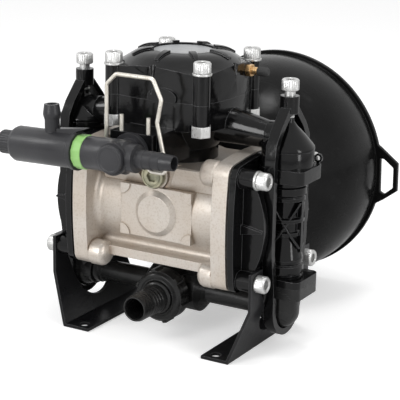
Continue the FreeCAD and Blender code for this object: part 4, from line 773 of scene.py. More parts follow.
def smooth_between_creases(piece: bpy.types.Object, crease: float = 35.0) -> None:
    """Shades a piece smooth and turns its faces outwards.

    Args:
        piece: object to shade.
        crease: angle in degrees above which an edge stays sharp.
    """
    form = bmesh.new()
    form.from_mesh(piece.data)
    bmesh.ops.recalc_face_normals(form, faces=form.faces)
    for face in form.faces:
        face.smooth = True
    for edge in form.edges:
        edge.smooth = len(edge.link_faces) == 2 and edge.calc_face_angle(0) < math.radians(crease)
    form.to_mesh(piece.data)
    form.free()


def steady(radius: float) -> Callable[[float], float]:
    """Ring of one radius, in millimetres."""
    return lambda angle: radius * MM


def hexagon_radius(width: float, phase: float) -> float:
    """Radius of a hexagon at a share of one of its sides, from corner to corner."""
    return width / 2 / math.cos((phase - 0.5) * math.pi / 3)


@dataclass
class RingForm:
    """Round piece of equal sectors that geometry nodes set round its axis and weld."""

    name: str
    node: str
    base: Point
    axis: Axis
    sectors: int
    steps: int
    section: Section
    start: float = 0.0
    tilt: float = 0.0
    solid: bool = False
    beside: bool = False

    def swell(self, phase: float, radius: float, height: float) -> float:
        """Radius at a share of a sector, in millimetres: round unless a kind of piece says otherwise."""
        return radius

    def sector(self) -> bpy.types.Object:
        """Makes one sector round the origin, its axis as named.

        Returns:
            The sector, closed at the poles when the piece is solid.
        """
        across, beside, along = {Axis.X: ((0, 1, 0), (0, 0, 1), (1, 0, 0)),
                                 Axis.Y: ((1, 0, 0), (0, 0, -1), (0, 1, 0)),
                                 Axis.Z: ((1, 0, 0), (0, 1, 0), (0, 0, 1))}[self.axis]
        count = len(self.section)
        points, faces = [], []
        for step in range(self.steps + 1):
            phase = step / self.steps
            angle = math.radians(self.start) + 2 * math.pi / self.sectors * phase
            ray = Vector(across) * math.cos(angle) + Vector(beside) * math.sin(angle)
            for radius, height in self.section:
                points.append((ray * (self.swell(phase, radius, height) if radius else 0.0)
                               + Vector(along) * height) * MM)
        for step in range(self.steps):
            for k in range(count - 1 if self.solid else count):
                faces.append((step * count + k, step * count + (k + 1) % count,
                              (step + 1) * count + (k + 1) % count, (step + 1) * count + k))
        return new_piece(self.name + "_sector", points, faces=faces)

    def build(self, shop: Workshop) -> bpy.types.Object:
        """Sets the sectors round the axis, welds them and hands the piece over.

        Args:
            shop: workshop with the frame's nodes and materials.

        Returns:
            The piece.
        """
        sector = self.sector()
        tree = TreeSketch(self.name + "_ring")
        ring = tree.set_round(sector, self.sectors, 0.0, 2 * math.pi / self.sectors, self.axis)
        place = tree.size("Place", [v * MM for v in self.base], "NodeSocketVector")
        lean = tree.size("Lean", [0.0, math.radians(self.tilt), 0.0], "NodeSocketVector")
        welded = tree.add("GeometryNodeMergeByDistance", Geometry=ring, Distance=tree.size("Weld", WELD))
        leaning = tree.add("FunctionNodeEulerToRotation")
        tree.group.links.new(lean, leaning.inputs[0])
        placed = tree.add("GeometryNodeTransform", Geometry=welded.outputs["Geometry"], Translation=place,
                          Rotation=leaning.outputs["Rotation"])
        tree.close(placed.outputs["Geometry"], shop.materials[shop.slot_of[self.node]])
        piece = tree.grow(new_piece(self.name, [Vector((0, 0, 0))]))
        bpy.data.objects.remove(sector)
        smooth_between_creases(piece, 30.0)
        return (shop.set_on if self.beside else shop.hand_over)(piece, self.node)


@dataclass
class GripNut(RingForm):
    """Ring nut with one grip lug in each sector."""

    lug_half: float = 0.105
    lug_flank: float = 0.03
    lug_height: float = 1.8
    lug_from: float = -39.0
    lug_radius: float = 24.0

    def swell(self, phase: float, radius: float, height: float) -> float:
        """Raises the lug on the outer wall.

        Args:
            phase: share of the sector.
            radius: radius of the section.
            height: place along the axis.

        Returns:
            The radius with the lug.
        """
        share = min(1.0, max(0.0, (self.lug_half - abs(phase - 0.5)) / self.lug_flank))
        on_wall = radius > self.lug_radius and height > self.lug_from - 0.01
        return radius + (self.lug_height * share if on_wall else 0.0)


@dataclass
class FlutedCap(RingForm):
    """Round cap with fine grip grooves between two heights."""

    groove: float = 0.45
    groove_from: float = 0.0
    groove_to: float = 1.0

    def swell(self, phase: float, radius: float, height: float) -> float:
        """Sinks a groove at the edges of each sector."""
        fluted = self.groove_from - 0.01 < height < self.groove_to + 0.01
        return radius - (self.groove * max(0.0, math.cos(2 * math.pi * phase)) if fluted else 0.0)


@dataclass
class FacetedRing(RingForm):
    """Ring whose outside has one flat in each sector."""

    outer: float = 15.6

    def swell(self, phase: float, radius: float, height: float) -> float:
        """Flattens the outside.

        Args:
            phase: share of the sector.
            radius: radius of the section.
            height: place along the axis, not used.

        Returns:
            The radius of the flat there, or the bore's own.
        """
        if radius < self.outer - 1.0:
            return radius
        half = math.pi / self.sectors
        return radius * math.cos(half) / math.cos((phase - 0.5) * 2 * half)


@dataclass
class HexSocketPlug(RingForm):
    """Filler plug with a hexagon socket, one side of it in each of six sectors."""

    socket: float = 10.0

    def swell(self, phase: float, radius: float, height: float) -> float:
        """Makes the socket's wall hexagonal."""
        return hexagon_radius(self.socket, phase) if abs(radius - self.socket / 2) < 0.01 else radius


@dataclass
class SocketScrews:
    """Socket head screws of one CAD node: knurled heads, hexagon sockets and threaded shanks."""

    node: str
    name: str
    axis: Axis
    head_radius: float = 8.0
    head_height: float = 10.0
    socket_width: float = 8.0
    shank_radius: float = 4.9
    thread_pitch: float = 1.5
    thread_rings: int = 10
    knurls: int = 30
    knurl_depth: float = 0.16
    knurl_from: float = 0.5
    head_chamfer: float = 1.1
    seat_chamfer: float = 0.6
    shoulder_in: float = 0.35
    shoulder_down: float = 0.9
    socket_chamfer: float = 0.5
    socket_lead: float = 0.6
    socket_floor: float = 0.45
    tip_chamfer: float = 1.2
    thread_from: float = 1.5
    thread_depth: float = 0.55

    def knurled(self, radius: float) -> Callable[[float], float]:
        """Ring with fine grip grooves, in millimetres."""
        return lambda angle: MM * (radius - self.knurl_depth * (1 - math.cos(self.knurls * angle)))

    def hexagon(self, width: float) -> Callable[[float], float]:
        """Hexagonal ring of a width across flats, in millimetres."""
        return lambda angle: MM * hexagon_radius(width, angle % (math.pi / 3) / (math.pi / 3))

    def pattern(self, length: float) -> bpy.types.Object:
        """Makes one screw: the origin is its seat, the head is above it.

        Args:
            length: length under the head in millimetres.

        Returns:
            The screw as an object.
        """
        r, h, s = self.head_radius, self.head_height, self.shank_radius
        rings = [(steady(s - self.tip_chamfer), -length), (steady(s), self.tip_chamfer - length)]
        for k in range(self.thread_rings):
            z = self.thread_from - length + self.thread_pitch * k
            rings += [(steady(s), z), (steady(s - self.thread_depth), z + self.thread_pitch / 2)]
        knurled, hexagon = self.knurled(r), self.hexagon(self.socket_width)
        thread_end = self.thread_from - length + self.thread_pitch * self.thread_rings
        mouth = self.socket_width / math.sqrt(3) + self.socket_chamfer
        rings += [(steady(s), thread_end), (steady(s), 0.0), (steady(r - self.seat_chamfer), 0.0),
                  (knurled, self.knurl_from), (knurled, h - self.head_chamfer),
                  (steady(r - self.shoulder_in), h - self.shoulder_down), (steady(r - self.head_chamfer), h),
                  (steady(mouth), h), (hexagon, h - self.socket_lead), (hexagon, h * self.socket_floor)]
        return lofted(self.name + "_pattern", [(radius, z * MM) for radius, z in rings], self.knurls * 4)

    def build(self, shop: Workshop) -> bpy.types.Object:
        """Sets a screw on every solid of the node by geometry nodes.

        Args:
            shop: workshop with the frame's nodes and materials.

        Returns:
            All the node's screws as one piece.
        """
        places, axes, length = [], [], math.inf
        boxes = shop.solids(self.node)
        k = self.axis.value
        centre = sum(low[k] + high[k] for low, high in boxes)
        for low, high in boxes:
            seat, outward = (low + high) / 2, Vector((0, 0, 0))
            outward[k] = 1.0 if self.axis is not Axis.X or seat.x > centre else -1.0
            seat[k] = (high if outward[k] > 0 else low)[k] - outward[k] * self.head_height * MM
            places.append(seat)
            axes.append(outward)
            length = min(length, (high - low)[k] / MM - self.head_height)
        host = new_piece(self.name, places)
        host.data.attributes.new("axis", "FLOAT_VECTOR", "POINT").data.foreach_set(
            "vector", [c for a in axes for c in a])
        pattern = self.pattern(length)
        tree = TreeSketch(self.name + "_rows")
        screw = tree.size("Screw", pattern, "NodeSocketObject")
        scale = tree.size("Scale", 1.0)
        axis = tree.add("GeometryNodeInputNamedAttribute", {"data_type": "FLOAT_VECTOR"}, Name="axis")
        turned = tree.add("FunctionNodeAlignRotationToVector", {"axis": "Z"}, Vector=axis.outputs[0])
        source = tree.add("GeometryNodeObjectInfo", Object=screw)
        rows = tree.add("GeometryNodeInstanceOnPoints", Points=tree.start.outputs["Geometry"],
                        Instance=source.outputs["Geometry"], Rotation=turned.outputs["Rotation"], Scale=scale)
        tree.close(rows.outputs["Instances"], shop.materials[shop.slot_of[self.node]])
        piece = tree.grow(host)
        bpy.data.objects.remove(pattern)
        return shop.hand_over(piece, self.node)


@dataclass
class WireFork:
    """Retaining fork: one bent wire with two tapered pins."""

    wire_radius: float = 1.9
    bend_radius: float = 5.0
    bend_points: int = 8
    round_points: int = 20
    taper_length: float = 3.0
    tip_share: float = 0.45
    plane_y: float = -83.0
    pin_x: float = 14.0
    tip_z: float = 221.5
    foot_z: float = 173.5
    leg_x: float = 30.0
    waist_z: float = 218.0
    top_z: float = 257.0

    def route(self) -> list[Vector]:
        """Lists the corners of the wire.

        Returns:
            The corners in metres, from pin to pin.
        """
        pin, leg, foot, top = self.pin_x, self.leg_x, self.foot_z, self.top_z
        corners = [(-pin, self.tip_z), (-pin, foot), (-leg, foot), (-leg, top - 10), (-leg + 10, top),
                   (leg - 12, top), (leg - 3, top - 18), (leg - 7, self.waist_z), (leg + 4, foot),
                   (pin, foot), (pin, self.tip_z)]
        return [Vector((x, self.plane_y, z)) * MM for x, z in corners]

    def build(self, shop: Workshop) -> bpy.types.Object:
        """Bends the wire along its route by geometry nodes.

        Args:
            shop: workshop with the frame's nodes and materials.

        Returns:
            The wire.
        """
        route = self.route()
        host = new_piece("retaining_fork_wire", route, [(k, k + 1) for k in range(len(route) - 1)])
        tree = TreeSketch("bent_wire")
        radius = tree.size("Wire Radius", self.wire_radius * MM)
        bend = tree.size("Bend Radius", self.bend_radius * MM)
        path = tree.add("GeometryNodeMeshToCurve", Mesh=tree.start.outputs["Geometry"])
        bent = tree.add("GeometryNodeFilletCurve", {"mode": "POLY"}, Curve=path.outputs["Curve"], Radius=bend,
                        Count=self.bend_points)
        along = tree.add("GeometryNodeSplineParameter")
        section = tree.add("GeometryNodeCurvePrimitiveCircle", Resolution=self.round_points, Radius=radius)
        near = tree.add("ShaderNodeMapRange", Value=along.outputs["Length"])
        near.inputs["From Max"].default_value = self.taper_length * MM
        near.inputs["To Min"].default_value = self.tip_share
        wide = tree.add("GeometryNodeSetCurveRadius", Curve=bent.outputs["Curve"],
                        Radius=near.outputs["Result"])
        skin = tree.add("GeometryNodeCurveToMesh", Curve=wide.outputs["Curve"],
                        Profile_Curve=section.outputs["Curve"], Fill_Caps=True)
        tree.close(skin.outputs["Mesh"], shop.materials[Slot.WIRE])
        piece = tree.grow(host)
        smooth_between_creases(piece, 50.0)
        return shop.hand_over(piece, "retaining_fork")


@dataclass
class TowerRibs:
    """Crossed gusset ribs between the collars of one valve tower, and the cone under them."""

    side: Side
    middle: float = 121.5
    reach: float = 21.5
    lean: float = 32.8
    thickness: float = 2.2
    outer: float = 17.2
    inner: float = 11.8
    crest: float = 0.6
    least: float = 3.0
    azimuth: float = 65.0
    steps: int = 22
    cone: Section = ((12.2, 88.6), (17.1, 88.6), (17.1, 90.2), (16.8, 90.9), (12.7, 110.0), (12.2, 110.0))

    def cross(self) -> bpy.types.Object:
        """Makes two leaning ribs that cross on the tower's side towards +X.

        Returns:
            The pair as one object round the origin.
        """
        half = self.thickness / 2 / math.cos(math.radians(self.lean))
        slope = math.tan(math.radians(self.lean))
        shoulder = self.outer - self.crest
        profile = ((-half, self.inner), (-half, shoulder), (-half * 0.5, self.outer),
                   (half * 0.5, self.outer), (half, shoulder), (half, self.inner))
        points, faces = [], []
        for way in (-1, 1):
            first = len(points)
            for k in range(self.steps + 1):
                rise = self.reach * (2 * k / self.steps - 1)
                for side, radius in profile:
                    across = way * rise * slope + side
                    out = math.sqrt(max(radius ** 2 - across ** 2, self.least ** 2))
                    points.append(Vector((out, across, rise)) * MM)
            for k in range(self.steps):
                for j in range(6):
                    faces.append((first + k * 6 + j, first + k * 6 + (j + 1) % 6,
                                  first + (k + 1) * 6 + (j + 1) % 6, first + (k + 1) * 6 + j))
            faces.append(tuple(first + j for j in reversed(range(6))))
            faces.append(tuple(first + self.steps * 6 + j for j in range(6)))
        return new_piece(f"{self.side}_rib_cross", points, faces=faces)

    def build(self, shop: Workshop) -> bpy.types.Object:
        """Sets a cross on the front and one on the rear of the tower, and the cone.

        Args:
            shop: workshop with the frame's nodes and materials.

        Returns:
            The ribs.
        """
        centre_x, azimuth = self.side.value * TOWER_X, math.radians(self.azimuth)
        facing = 0.0 if self.side is Side.RIGHT else math.pi
        cross = self.cross()
        tree = TreeSketch(f"{self.side}_tower_ribs")
        pair = tree.set_round(cross, 2, facing - azimuth, 2 * azimuth)
        place = tree.size("Place", [centre_x * MM, 0.0, self.middle * MM], "NodeSocketVector")
        placed = tree.add("GeometryNodeTransform", Geometry=pair, Translation=place)
        tree.close(placed.outputs["Geometry"], shop.materials[Slot.GLOSS_PAINT])
        piece = tree.grow(new_piece(f"{self.side}_tower_ribs", [Vector((0, 0, 0))]))
        bpy.data.objects.remove(cross)
        smooth_between_creases(piece, 30.0)
        shop.set_on(piece, f"{self.side}_head")
        RingForm(f"{self.side}_tower_cone", f"{self.side}_head", (centre_x, 0, 0), Axis.Z, 12, 8, self.cone,
                 beside=True).build(shop)
        return piece


@dataclass
class Castings:
    """Crankcase, heads, elbows, damper and yokes, taken over from the frame with rounded edges."""

    case_rounding: float = 0.9
    head_rounding: float = 0.7
    damper_rounding: float = 0.8
    yoke_rounding: float = 0.9
    dome_rim: Section = ((22.6, 190.6), (24.1, 190.6), (24.4, 191.0), (24.4, 193.4), (24.0, 194.6),
                         (22.6, 196.2), (20.6, 197.6), (20.2, 196.6), (22.6, 194.0))

    def build(self, shop: Workshop) -> None:
        """Dresses every casting.

        Args:
            shop: workshop with the frame's nodes and materials.
        """
        for node in ("crankcase", "rear_cover"):
            shop.carried(node, f"{node}_casting", self.case_rounding)
        for node in ("delivery_manifold", "damper_cap"):
            shop.carried(node, f"{node}_casting", self.damper_rounding)
        for side in Side:
            shop.carried(f"{side}_head", f"{side}_head_casting", self.head_rounding)
            TowerRibs(side).build(shop)
            shop.carried(f"{side}_delivery_elbow", f"{side}_elbow_dome", self.head_rounding)
            RingForm(f"{side}_dome_rim", f"{side}_delivery_elbow", (side.value * TOWER_X, 0, 0), Axis.Z,
                     12, 8, self.dome_rim, beside=True).build(shop)
            shop.carried(f"{side}_yoke", f"{side}_yoke_stirrup", self.yoke_rounding)


@dataclass
class SheetWork:
    """Feet of bent sheet and the moulded shaft guard."""

    sheet_rounding: float = 0.6
    guard_rounding: float = 0.9

    def build(self, shop: Workshop) -> None:
        """Dresses the feet and the guard.

        Args:
            shop: workshop with the frame's nodes and materials.
        """
        for side in Side:
            shop.carried(f"{side}_foot", f"{side}_foot_sheet", self.sheet_rounding)
        shop.carried("shaft_guard", "shaft_guard_bowl", self.guard_rounding)


@dataclass
class SuctionLine:
    """Plastic suction side: elbows, tube, union nut and hose tail."""

    rounding: float = 0.7
    axis_z: float = 40.0
    nut_section: Section = ((17.4, -24.0), (23.9, -24.0), (24.5, -24.6), (24.5, -38.9), (24.1, -39.1),
                            (23.7, -39.6), (22.1, -41.6), (21.5, -42.0), (18.6, -42.0), (18.3, -41.5),
                            (17.6, -41.5), (17.3, -42.0), (16.3, -42.0), (16.0, -41.6), (16.0, -31.6),
                            (17.4, -31.6))
    tail_collar: Section = ((10.2, -27.0), (16.6, -27.0), (16.6, -31.0), (15.5, -31.0), (15.5, -43.4),
                            (15.1, -44.0), (13.5, -45.0), (13.5, -51.4), (13.2, -52.0))
    tail_ring: Section = ((12.9, -52.4), (12.9, -55.4), (12.5, -56.0), (12.5, -56.5))
    tail_barb: Section = ((12.7, -66.2), (12.7, -68.6), (12.0, -70.8))
    tail_mouth: Section = ((11.6, -82.0), (10.6, -82.0), (10.2, -81.6))
    ring_pitch: float = 4.4
    barb_pitch: float = 5.0

    def build(self, shop: Workshop) -> None:
        """Dresses the suction side.

        Args:
            shop: workshop with the frame's nodes and materials.
        """
        for side in Side:
            shop.carried(f"{side}_suction_elbow", f"{side}_suction_bend", self.rounding)
        shop.carried("suction_manifold", "suction_tube", self.rounding)
        base = (0, 0, self.axis_z)
        GripNut("union_nut_ring", "union_nut", base, Axis.Y, 6, 40, self.nut_section, -15.0).build(shop)
        RingForm("hose_tail_barb", "hose_tail", base, Axis.Y, 8, 10, self.tail_section()).build(shop)

    def tail_section(self) -> list[tuple[float, float]]:
        """Joins the half section of the hose tail.

        Returns:
            Collar, three stepped rings, three barbs, mouth and bore.
        """
        section = list(self.tail_collar)
        for form, pitch in ((self.tail_ring, self.ring_pitch), (self.tail_barb, self.barb_pitch)):
            section += [(radius, height - pitch * k) for k in range(3) for radius, height in form]
        return section + list(self.tail_mouth)


@dataclass
class ReliefValve:
    """Relief valve: body, tee, plug, knob and the coloured ring."""

    rounding: float = 0.6
    depth: float = -108.0
    height: float = 190.0
    tilt: float = 1.6
    plug_section: Section = ((0, -124.5), (9.9, -124.5), (10.6, -125.0), (11.9, -125.0), (12.5, -124.4),
                             (12.7, -123.6), (12.7, -120.0), (10.15, -120.0), (10.15, -103.0),
                             (0, -103.0))
    cap_section: Section = ((0, -129.0), (7.4, -129.0), (8.4, -128.7), (10.4, -126.2), (10.9, -125.4),
                            (11.0, -124.6), (11.0, -113.0), (11.0, -112.2), (10.4, -111.4), (4.0, -111.4),
                            (4.0, -102.0), (0, -102.0))
    ring_section: Section = ((12.9, -42.0), (15.0, -42.0), (15.6, -41.4), (15.6, -32.6), (15.0, -32.0),
                             (12.9, -32.0))

    def build(self, shop: Workshop) -> None:
        """Dresses the relief valve.

        Args:
            shop: workshop with the frame's nodes and materials.
        """
        for node, name in (("relief_body", "relief_valve_body"), ("relief_tee", "relief_valve_tee")):
            shop.carried(node, name, self.rounding)
        base = (0, self.depth, self.height)
        RingForm("tee_front_plug", "tee_plug", (0, 0, self.height), Axis.Y, 8, 10, self.plug_section,
                 solid=True).build(shop)
        FlutedCap("pressure_cap", "pressure_knob", base, Axis.X, 24, 8, self.cap_section, tilt=-self.tilt,
                  solid=True, groove_from=-124.6, groove_to=-113.0).build(shop)
        FacetedRing("setting_ring", "green_ring", base, Axis.X, 12, 6, self.ring_section, 15.0,
                    -self.tilt).build(shop)


@dataclass
class SmallParts:
    """Disc, air valve, oil plug, washers, nuts and the end of the drive shaft."""

    rounding: float = 0.4
    disc_section: Section = ((0, 268.8), (26.6, 268.8), (27.2, 269.1), (28.3, 269.1), (29.0, 268.6),
                             (29.0, 267.5), (0, 267.5))
    dust_cap_section: Section = ((0, 76.2), (2.7, 76.2), (3.4, 75.7), (4.3, 74.0), (4.4, 73.0),
                                 (4.4, 66.5), (4.2, 65.6), (3.8, 65.2), (0, 65.2))
    plug_section: Section = ((0, -46.4), (5.0, -46.4), (5.0, -49.2), (8.0, -49.4), (8.3, -48.8),
                             (9.3, -48.8), (9.6, -49.5), (10.6, -49.5), (11.3, -48.9), (11.5, -48.0),
                             (11.5, -44.0), (7.8, -44.0), (7.8, -34.0), (0, -34.0))

    def build(self, shop: Workshop) -> None:
        """Dresses the small parts.

        Args:
            shop: workshop with the frame's nodes and materials.
        """
        for node, name in (("air_valve", "air_valve_stem"), ("washers", "plain_washers"),
                           ("damper_nuts", "hexagon_nuts"), ("drive_shaft", "splined_drive_shaft")):
            shop.carried(node, name, self.rounding)
        RingForm("crown_disc", "cap_disc", (0, 0, 0), Axis.Z, 12, 8, self.disc_section,
                 solid=True).build(shop)
        FlutedCap("air_valve_dust_cap", "air_valve_cap", (0, 24.0, 252.5), Axis.X, 18, 6,
                  self.dust_cap_section, solid=True, groove=0.3, groove_from=66.5, groove_to=73.0).build(shop)
        HexSocketPlug("oil_filler_plug", "oil_plug", (-3.0, 0, 158.5), Axis.Y, 6, 14, self.plug_section,
                      solid=True).build(shop)


@dataclass
class PressedSpring:
    """Helical spring of a valve, taken over from the frame; its joint, axis, anchor and travel are given but
    not used.
    """

    node: str
    joint: str
    axis: Point
    anchor: Point
    travel: float = 3.0

    def build(self, shop: Workshop) -> bpy.types.Object:
        """Takes the wire over and hands it to the pump body.

        Args:
            shop: workshop with the frame's nodes and materials.

        Returns:
            The spring.
        """
        piece = shop.copied(self.node, self.node + "_wire")
        smooth_between_creases(piece, 40.0)
        shop.hand_over(piece, self.node, "pump_body")
        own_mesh(piece)
        return piece


@dataclass
class Diaphragm:
    """Rubber disc in equal sectors: its rim stays clamped while its middle follows the piston."""

    side: Side
    sectors: int = 6
    steps: int = 10
    inner_x: float = 80.0
    outer_x: float = 82.0
    carried: float = 20.0
    held: float = 35.2
    radii: tuple[float, ...] = (4.2, 12.0, 20.0, 22.0, 24.0, 26.0, 28.0, 30.0, 32.0, 35.2, 41.0, 56.0)

    def ray(self, turn: float) -> Vector:
        """Direction from the axis at a share of a full turn."""
        return Vector((0, math.cos(2 * math.pi * turn), math.sin(2 * math.pi * turn)))

    def sector(self, number: int) -> bpy.types.Object:
        """Makes one closed sector of the disc.

        Args:
            number: number of the sector, from zero.

        Returns:
            The sector.
        """
        rings, points, faces = len(self.radii), [], []
        layer = rings * (self.steps + 1)
        for x in (self.inner_x, self.outer_x):
            centre = Vector((self.side.value * x, 0, AXIS_Z))
            for step in range(self.steps + 1):
                ray = self.ray((number + step / self.steps) / self.sectors)
                points += [(centre + ray * radius) * MM for radius in self.radii]
        for step in range(self.steps):
            for ring in range(rings - 1):
                low = step * rings + ring
                quad = (low, low + 1, low + rings + 1, low + rings)
                faces += [quad, tuple(layer + k for k in reversed(quad))]
            for ring in (0, rings - 1):
                low = step * rings + ring
                faces.append((low, low + rings, layer + low + rings, layer + low))
        for edge in (0, self.steps * rings):
            faces += [(edge + ring, edge + ring + 1, layer + edge + ring + 1, layer + edge + ring)
                      for ring in range(rings - 1)]
        return new_piece(f"{self.side}_membrane_{number}", points, faces=faces)

    def build(self, shop: Workshop) -> None:
        """Makes the sectors, each stretched along its own middle ray.

        Args:
            shop: workshop with the frame's nodes and materials.
        """
        node = f"{self.side}_diaphragm"
        centre = Vector((self.side.value * self.inner_x, 0, AXIS_Z))
        for number in range(self.sectors):
            piece = self.sector(number)
            smooth_between_creases(piece, 40.0)
            shop.paint(piece, shop.slot_of[node])
            ray = self.ray((number + 0.5) / self.sectors)
            rim = centre + ray * self.held * math.cos(math.pi / self.sectors)
            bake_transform(piece, "pump_body", "piston_set", start=tuple(rim * MM),
                     end=tuple((centre + ray * self.carried) * MM))
            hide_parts(node)
        LOG.info("%s: %d sectors between pump_body and piston_set", node, self.sectors)


@dataclass
class MovingParts:
    """Pistons with lowered crowns, their diaphragms and the springs of the valves."""

    piston_section: Section = ((4.2, 80.0), (20.4, 80.0), (20.8, 78.6), (24.0, 76.4), (33.8, 75.4),
                               (35.0, 74.4), (35.0, 55.0), (30.0, 55.0), (30.0, 73.0), (11.0, 73.0),
                               (11.0, 55.0), (4.2, 55.0))
    suction_seat_z: float = 81.9
    delivery_seat_z: float = 166.9
    relief_axis: Point = (-0.99961012, 0, -0.02792164)
    relief_seat: Point = (-102.0, -108.0, 187.15)

    def build(self, shop: Workshop) -> None:
        """Makes the pistons, the diaphragms that the stroke stretches, and the springs.

        Args:
            shop: workshop with the frame's nodes and materials.
        """
        for side in Side:
            RingForm(f"{side}_piston", "pistons", (0, 0, AXIS_Z), Axis.X, 12, 5,
                     [(radius, side.value * height) for radius, height in self.piston_section]).build(shop)
            Diaphragm(side).build(shop)
            for port, seat in (("suction", self.suction_seat_z), ("delivery", self.delivery_seat_z)):
                PressedSpring(f"{side}_{port}_spring", f"{side}_{port}_valve_lift", (0, 0, 1),
                              (side.value * TOWER_X, 0, seat)).build(shop)
        PressedSpring("relief_spring", "relief_lift", self.relief_axis, self.relief_seat).build(shop)


@dataclass(frozen=True)
class Softbox:
    """Rectangular area light aimed at the pump, in metres and watts."""

    name: str
    place: Point
    size: tuple[float, float]
    power: float

    def build(self, aim: Point) -> None:
        """Hangs the light.

        Args:
            aim: point in metres that the light faces.
        """
        data = bpy.data.lights.new(self.name, "AREA")
        data.shape = "RECTANGLE"
        data.size, data.size_y = self.size
        data.energy = self.power
        lamp = bpy.data.objects.new(self.name, data)
        lamp.visible_camera = False
        way = (Vector(aim) - Vector(self.place)).to_track_quat("-Z", "Y")
        lamp.matrix_world = Matrix.Translation(self.place) @ way.to_matrix().to_4x4()
        bpy.context.scene.collection.objects.link(lamp)


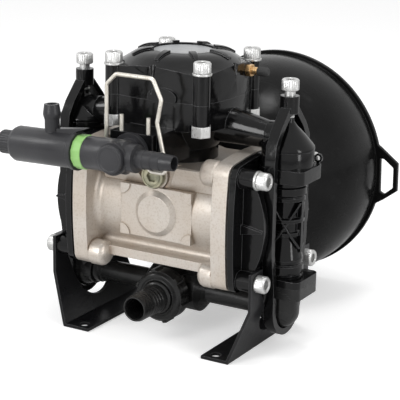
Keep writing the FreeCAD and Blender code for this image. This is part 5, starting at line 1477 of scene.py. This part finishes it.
@dataclass
class Studio:
    """Floor, soft lights, pale surroundings and the camera."""

    azimuth: float = 29.7953
    elevation: float = 15.7814
    roll: float = 1.1799
    focal_pixels: float = 1459.44
    picture_pixels: float = 400.0
    distance: float = 1358.12
    target: Point = (27.310, -12.254, 132.277)
    sensor: float = 36.0
    surround: float = 0.55
    floor_glow: float = 0.42
    floor_half: float = 8.0
    floor_drop: float = 0.0004
    aim: Point = (0.02, 0.0, 0.14)
    softboxes: tuple[Softbox, ...] = (
        Softbox("front_softbox", (-0.35, -1.6, 0.75), (0.5, 0.9), 15.0),
        Softbox("left_softbox", (-1.35, -0.8, 1.0), (0.4, 0.5), 6.0),
        Softbox("top_softbox", (0.15, 0.1, 1.9), (0.55, 0.4), 9.0),
        Softbox("side_softbox", (1.55, -0.35, 0.7), (0.3, 1.2), 9.0))

    def camera(self) -> None:
        """Sets the camera at the photograph's angle."""
        a, e, r = (math.radians(v) for v in (self.azimuth, self.elevation, self.roll))
        forward = Vector((-math.sin(a) * math.cos(e), math.cos(a) * math.cos(e), -math.sin(e)))
        right = Vector((math.cos(a), math.sin(a), 0))
        up = right.cross(forward)
        across = right * math.cos(r) + up * math.sin(r)
        above = up * math.cos(r) - right * math.sin(r)
        data = bpy.data.cameras.new("photo_camera")
        data.sensor_width = self.sensor
        data.lens = self.focal_pixels * self.sensor / self.picture_pixels
        data.clip_start, data.clip_end = 0.05, 50.0
        camera = bpy.data.objects.new("photo_camera", data)
        place = (Vector(self.target) - forward * self.distance) * MM
        turn = Matrix((across, above, -forward)).transposed().to_4x4()
        camera.matrix_world = Matrix.Translation(place) @ turn
        bpy.context.scene.collection.objects.link(camera)
        bpy.context.scene.camera = camera

    def surroundings(self) -> None:
        """Makes a pale world: white to the camera and in reflections, softer as a light."""
        world = bpy.data.worlds.new("pale_room")
        world.use_nodes = True
        tree = world.node_tree
        tree.nodes.clear()
        path = tree.nodes.new("ShaderNodeLightPath")
        seen = path.outputs["Is Camera Ray"]
        for name in ("Is Glossy Ray", "Is Transmission Ray"):
            either = tree.nodes.new("ShaderNodeMath")
            either.operation = "MAXIMUM"
            tree.links.new(seen, either.inputs[0])
            tree.links.new(path.outputs[name], either.inputs[1])
            seen = either.outputs[0]
        strength = tree.nodes.new("ShaderNodeMapRange")
        strength.inputs["To Min"].default_value = self.surround
        tree.links.new(seen, strength.inputs["Value"])
        background = tree.nodes.new("ShaderNodeBackground")
        background.inputs["Color"].default_value = (1.0, 1.0, 1.0, 1.0)
        tree.links.new(strength.outputs["Result"], background.inputs["Strength"])
        output = tree.nodes.new("ShaderNodeOutputWorld")
        tree.links.new(background.outputs["Background"], output.inputs["Surface"])
        bpy.context.scene.world = world

    def floor(self) -> None:
        """Lays a wide pale floor that keeps the shadow."""
        half = self.floor_half
        corners_xy = ((-half, -half), (half, -half), (half, half), (-half, half))
        piece = new_piece("studio_floor", [Vector((x, y, -self.floor_drop)) for x, y in corners_xy],
                          faces=[(0, 1, 2, 3)])
        sketch = MaterialSketch("pale_floor")
        clouds = sketch.noise(0.4, 2.0)
        surface = sketch.surface.inputs
        surface["Roughness"].default_value = 0.9
        surface["Specular IOR Level"].default_value = 0.1
        sketch.connect(Base_Color=sketch.blend(clouds, (0.82, 0.82, 0.82), (0.85, 0.85, 0.85)))
        glow = sketch.add("ShaderNodeEmission", Color=(1.0, 1.0, 1.0, 1.0))
        path = sketch.add("ShaderNodeLightPath")
        strength = sketch.remap(path.outputs["Is Camera Ray"], (0.0, 1.0), (0.0, self.floor_glow))
        sketch.tree.links.new(strength, glow.inputs["Strength"])
        both = sketch.tree.nodes.new("ShaderNodeAddShader")
        sketch.tree.links.new(sketch.surface.outputs["BSDF"], both.inputs[0])
        sketch.tree.links.new(glow.outputs["Emission"], both.inputs[1])
        output = next(n for n in sketch.tree.nodes if n.bl_idname == "ShaderNodeOutputMaterial")
        sketch.tree.links.new(both.outputs[0], output.inputs["Surface"])
        piece.data.materials.append(sketch.material)

    def build(self) -> None:
        """Sets up the studio."""
        bpy.context.scene.view_settings.view_transform = "Standard"
        self.camera()
        self.surroundings()
        self.floor()
        for softbox in self.softboxes:
            softbox.build(self.aim)
        LOG.info("studio: camera, floor and %d softboxes", len(self.softboxes))


def corners(box: tuple[Vector, Vector]) -> list[list[float]]:
    """A box as plain lists of numbers."""
    return [list(corner) for corner in box]


def main() -> None:
    """Dresses the pump piece by piece."""
    logging.basicConfig(level=logging.INFO, format="%(name)s %(message)s")
    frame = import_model()
    shop = Workshop(frame)
    Studio().build()
    screws = [SocketScrews(f"{place}_screws", f"{place}_socket_screws", axis)
              for place, axis in (("head", Axis.X), ("damper", Axis.Z), ("yoke", Axis.Z))]
    screws.append(SocketScrews("guard_screws", "guard_socket_screws", Axis.Y, head_radius=5.0,
                               head_height=6.0, socket_width=5.0, shank_radius=2.9, thread_pitch=1.0,
                               thread_rings=6, knurls=24))
    for assembly in (Castings(), SheetWork(), SuctionLine(), ReliefValve(), SmallParts(), MovingParts(),
                     WireFork(), *screws):
        assembly.build(shop)


if __name__ == "__main__":
    main()
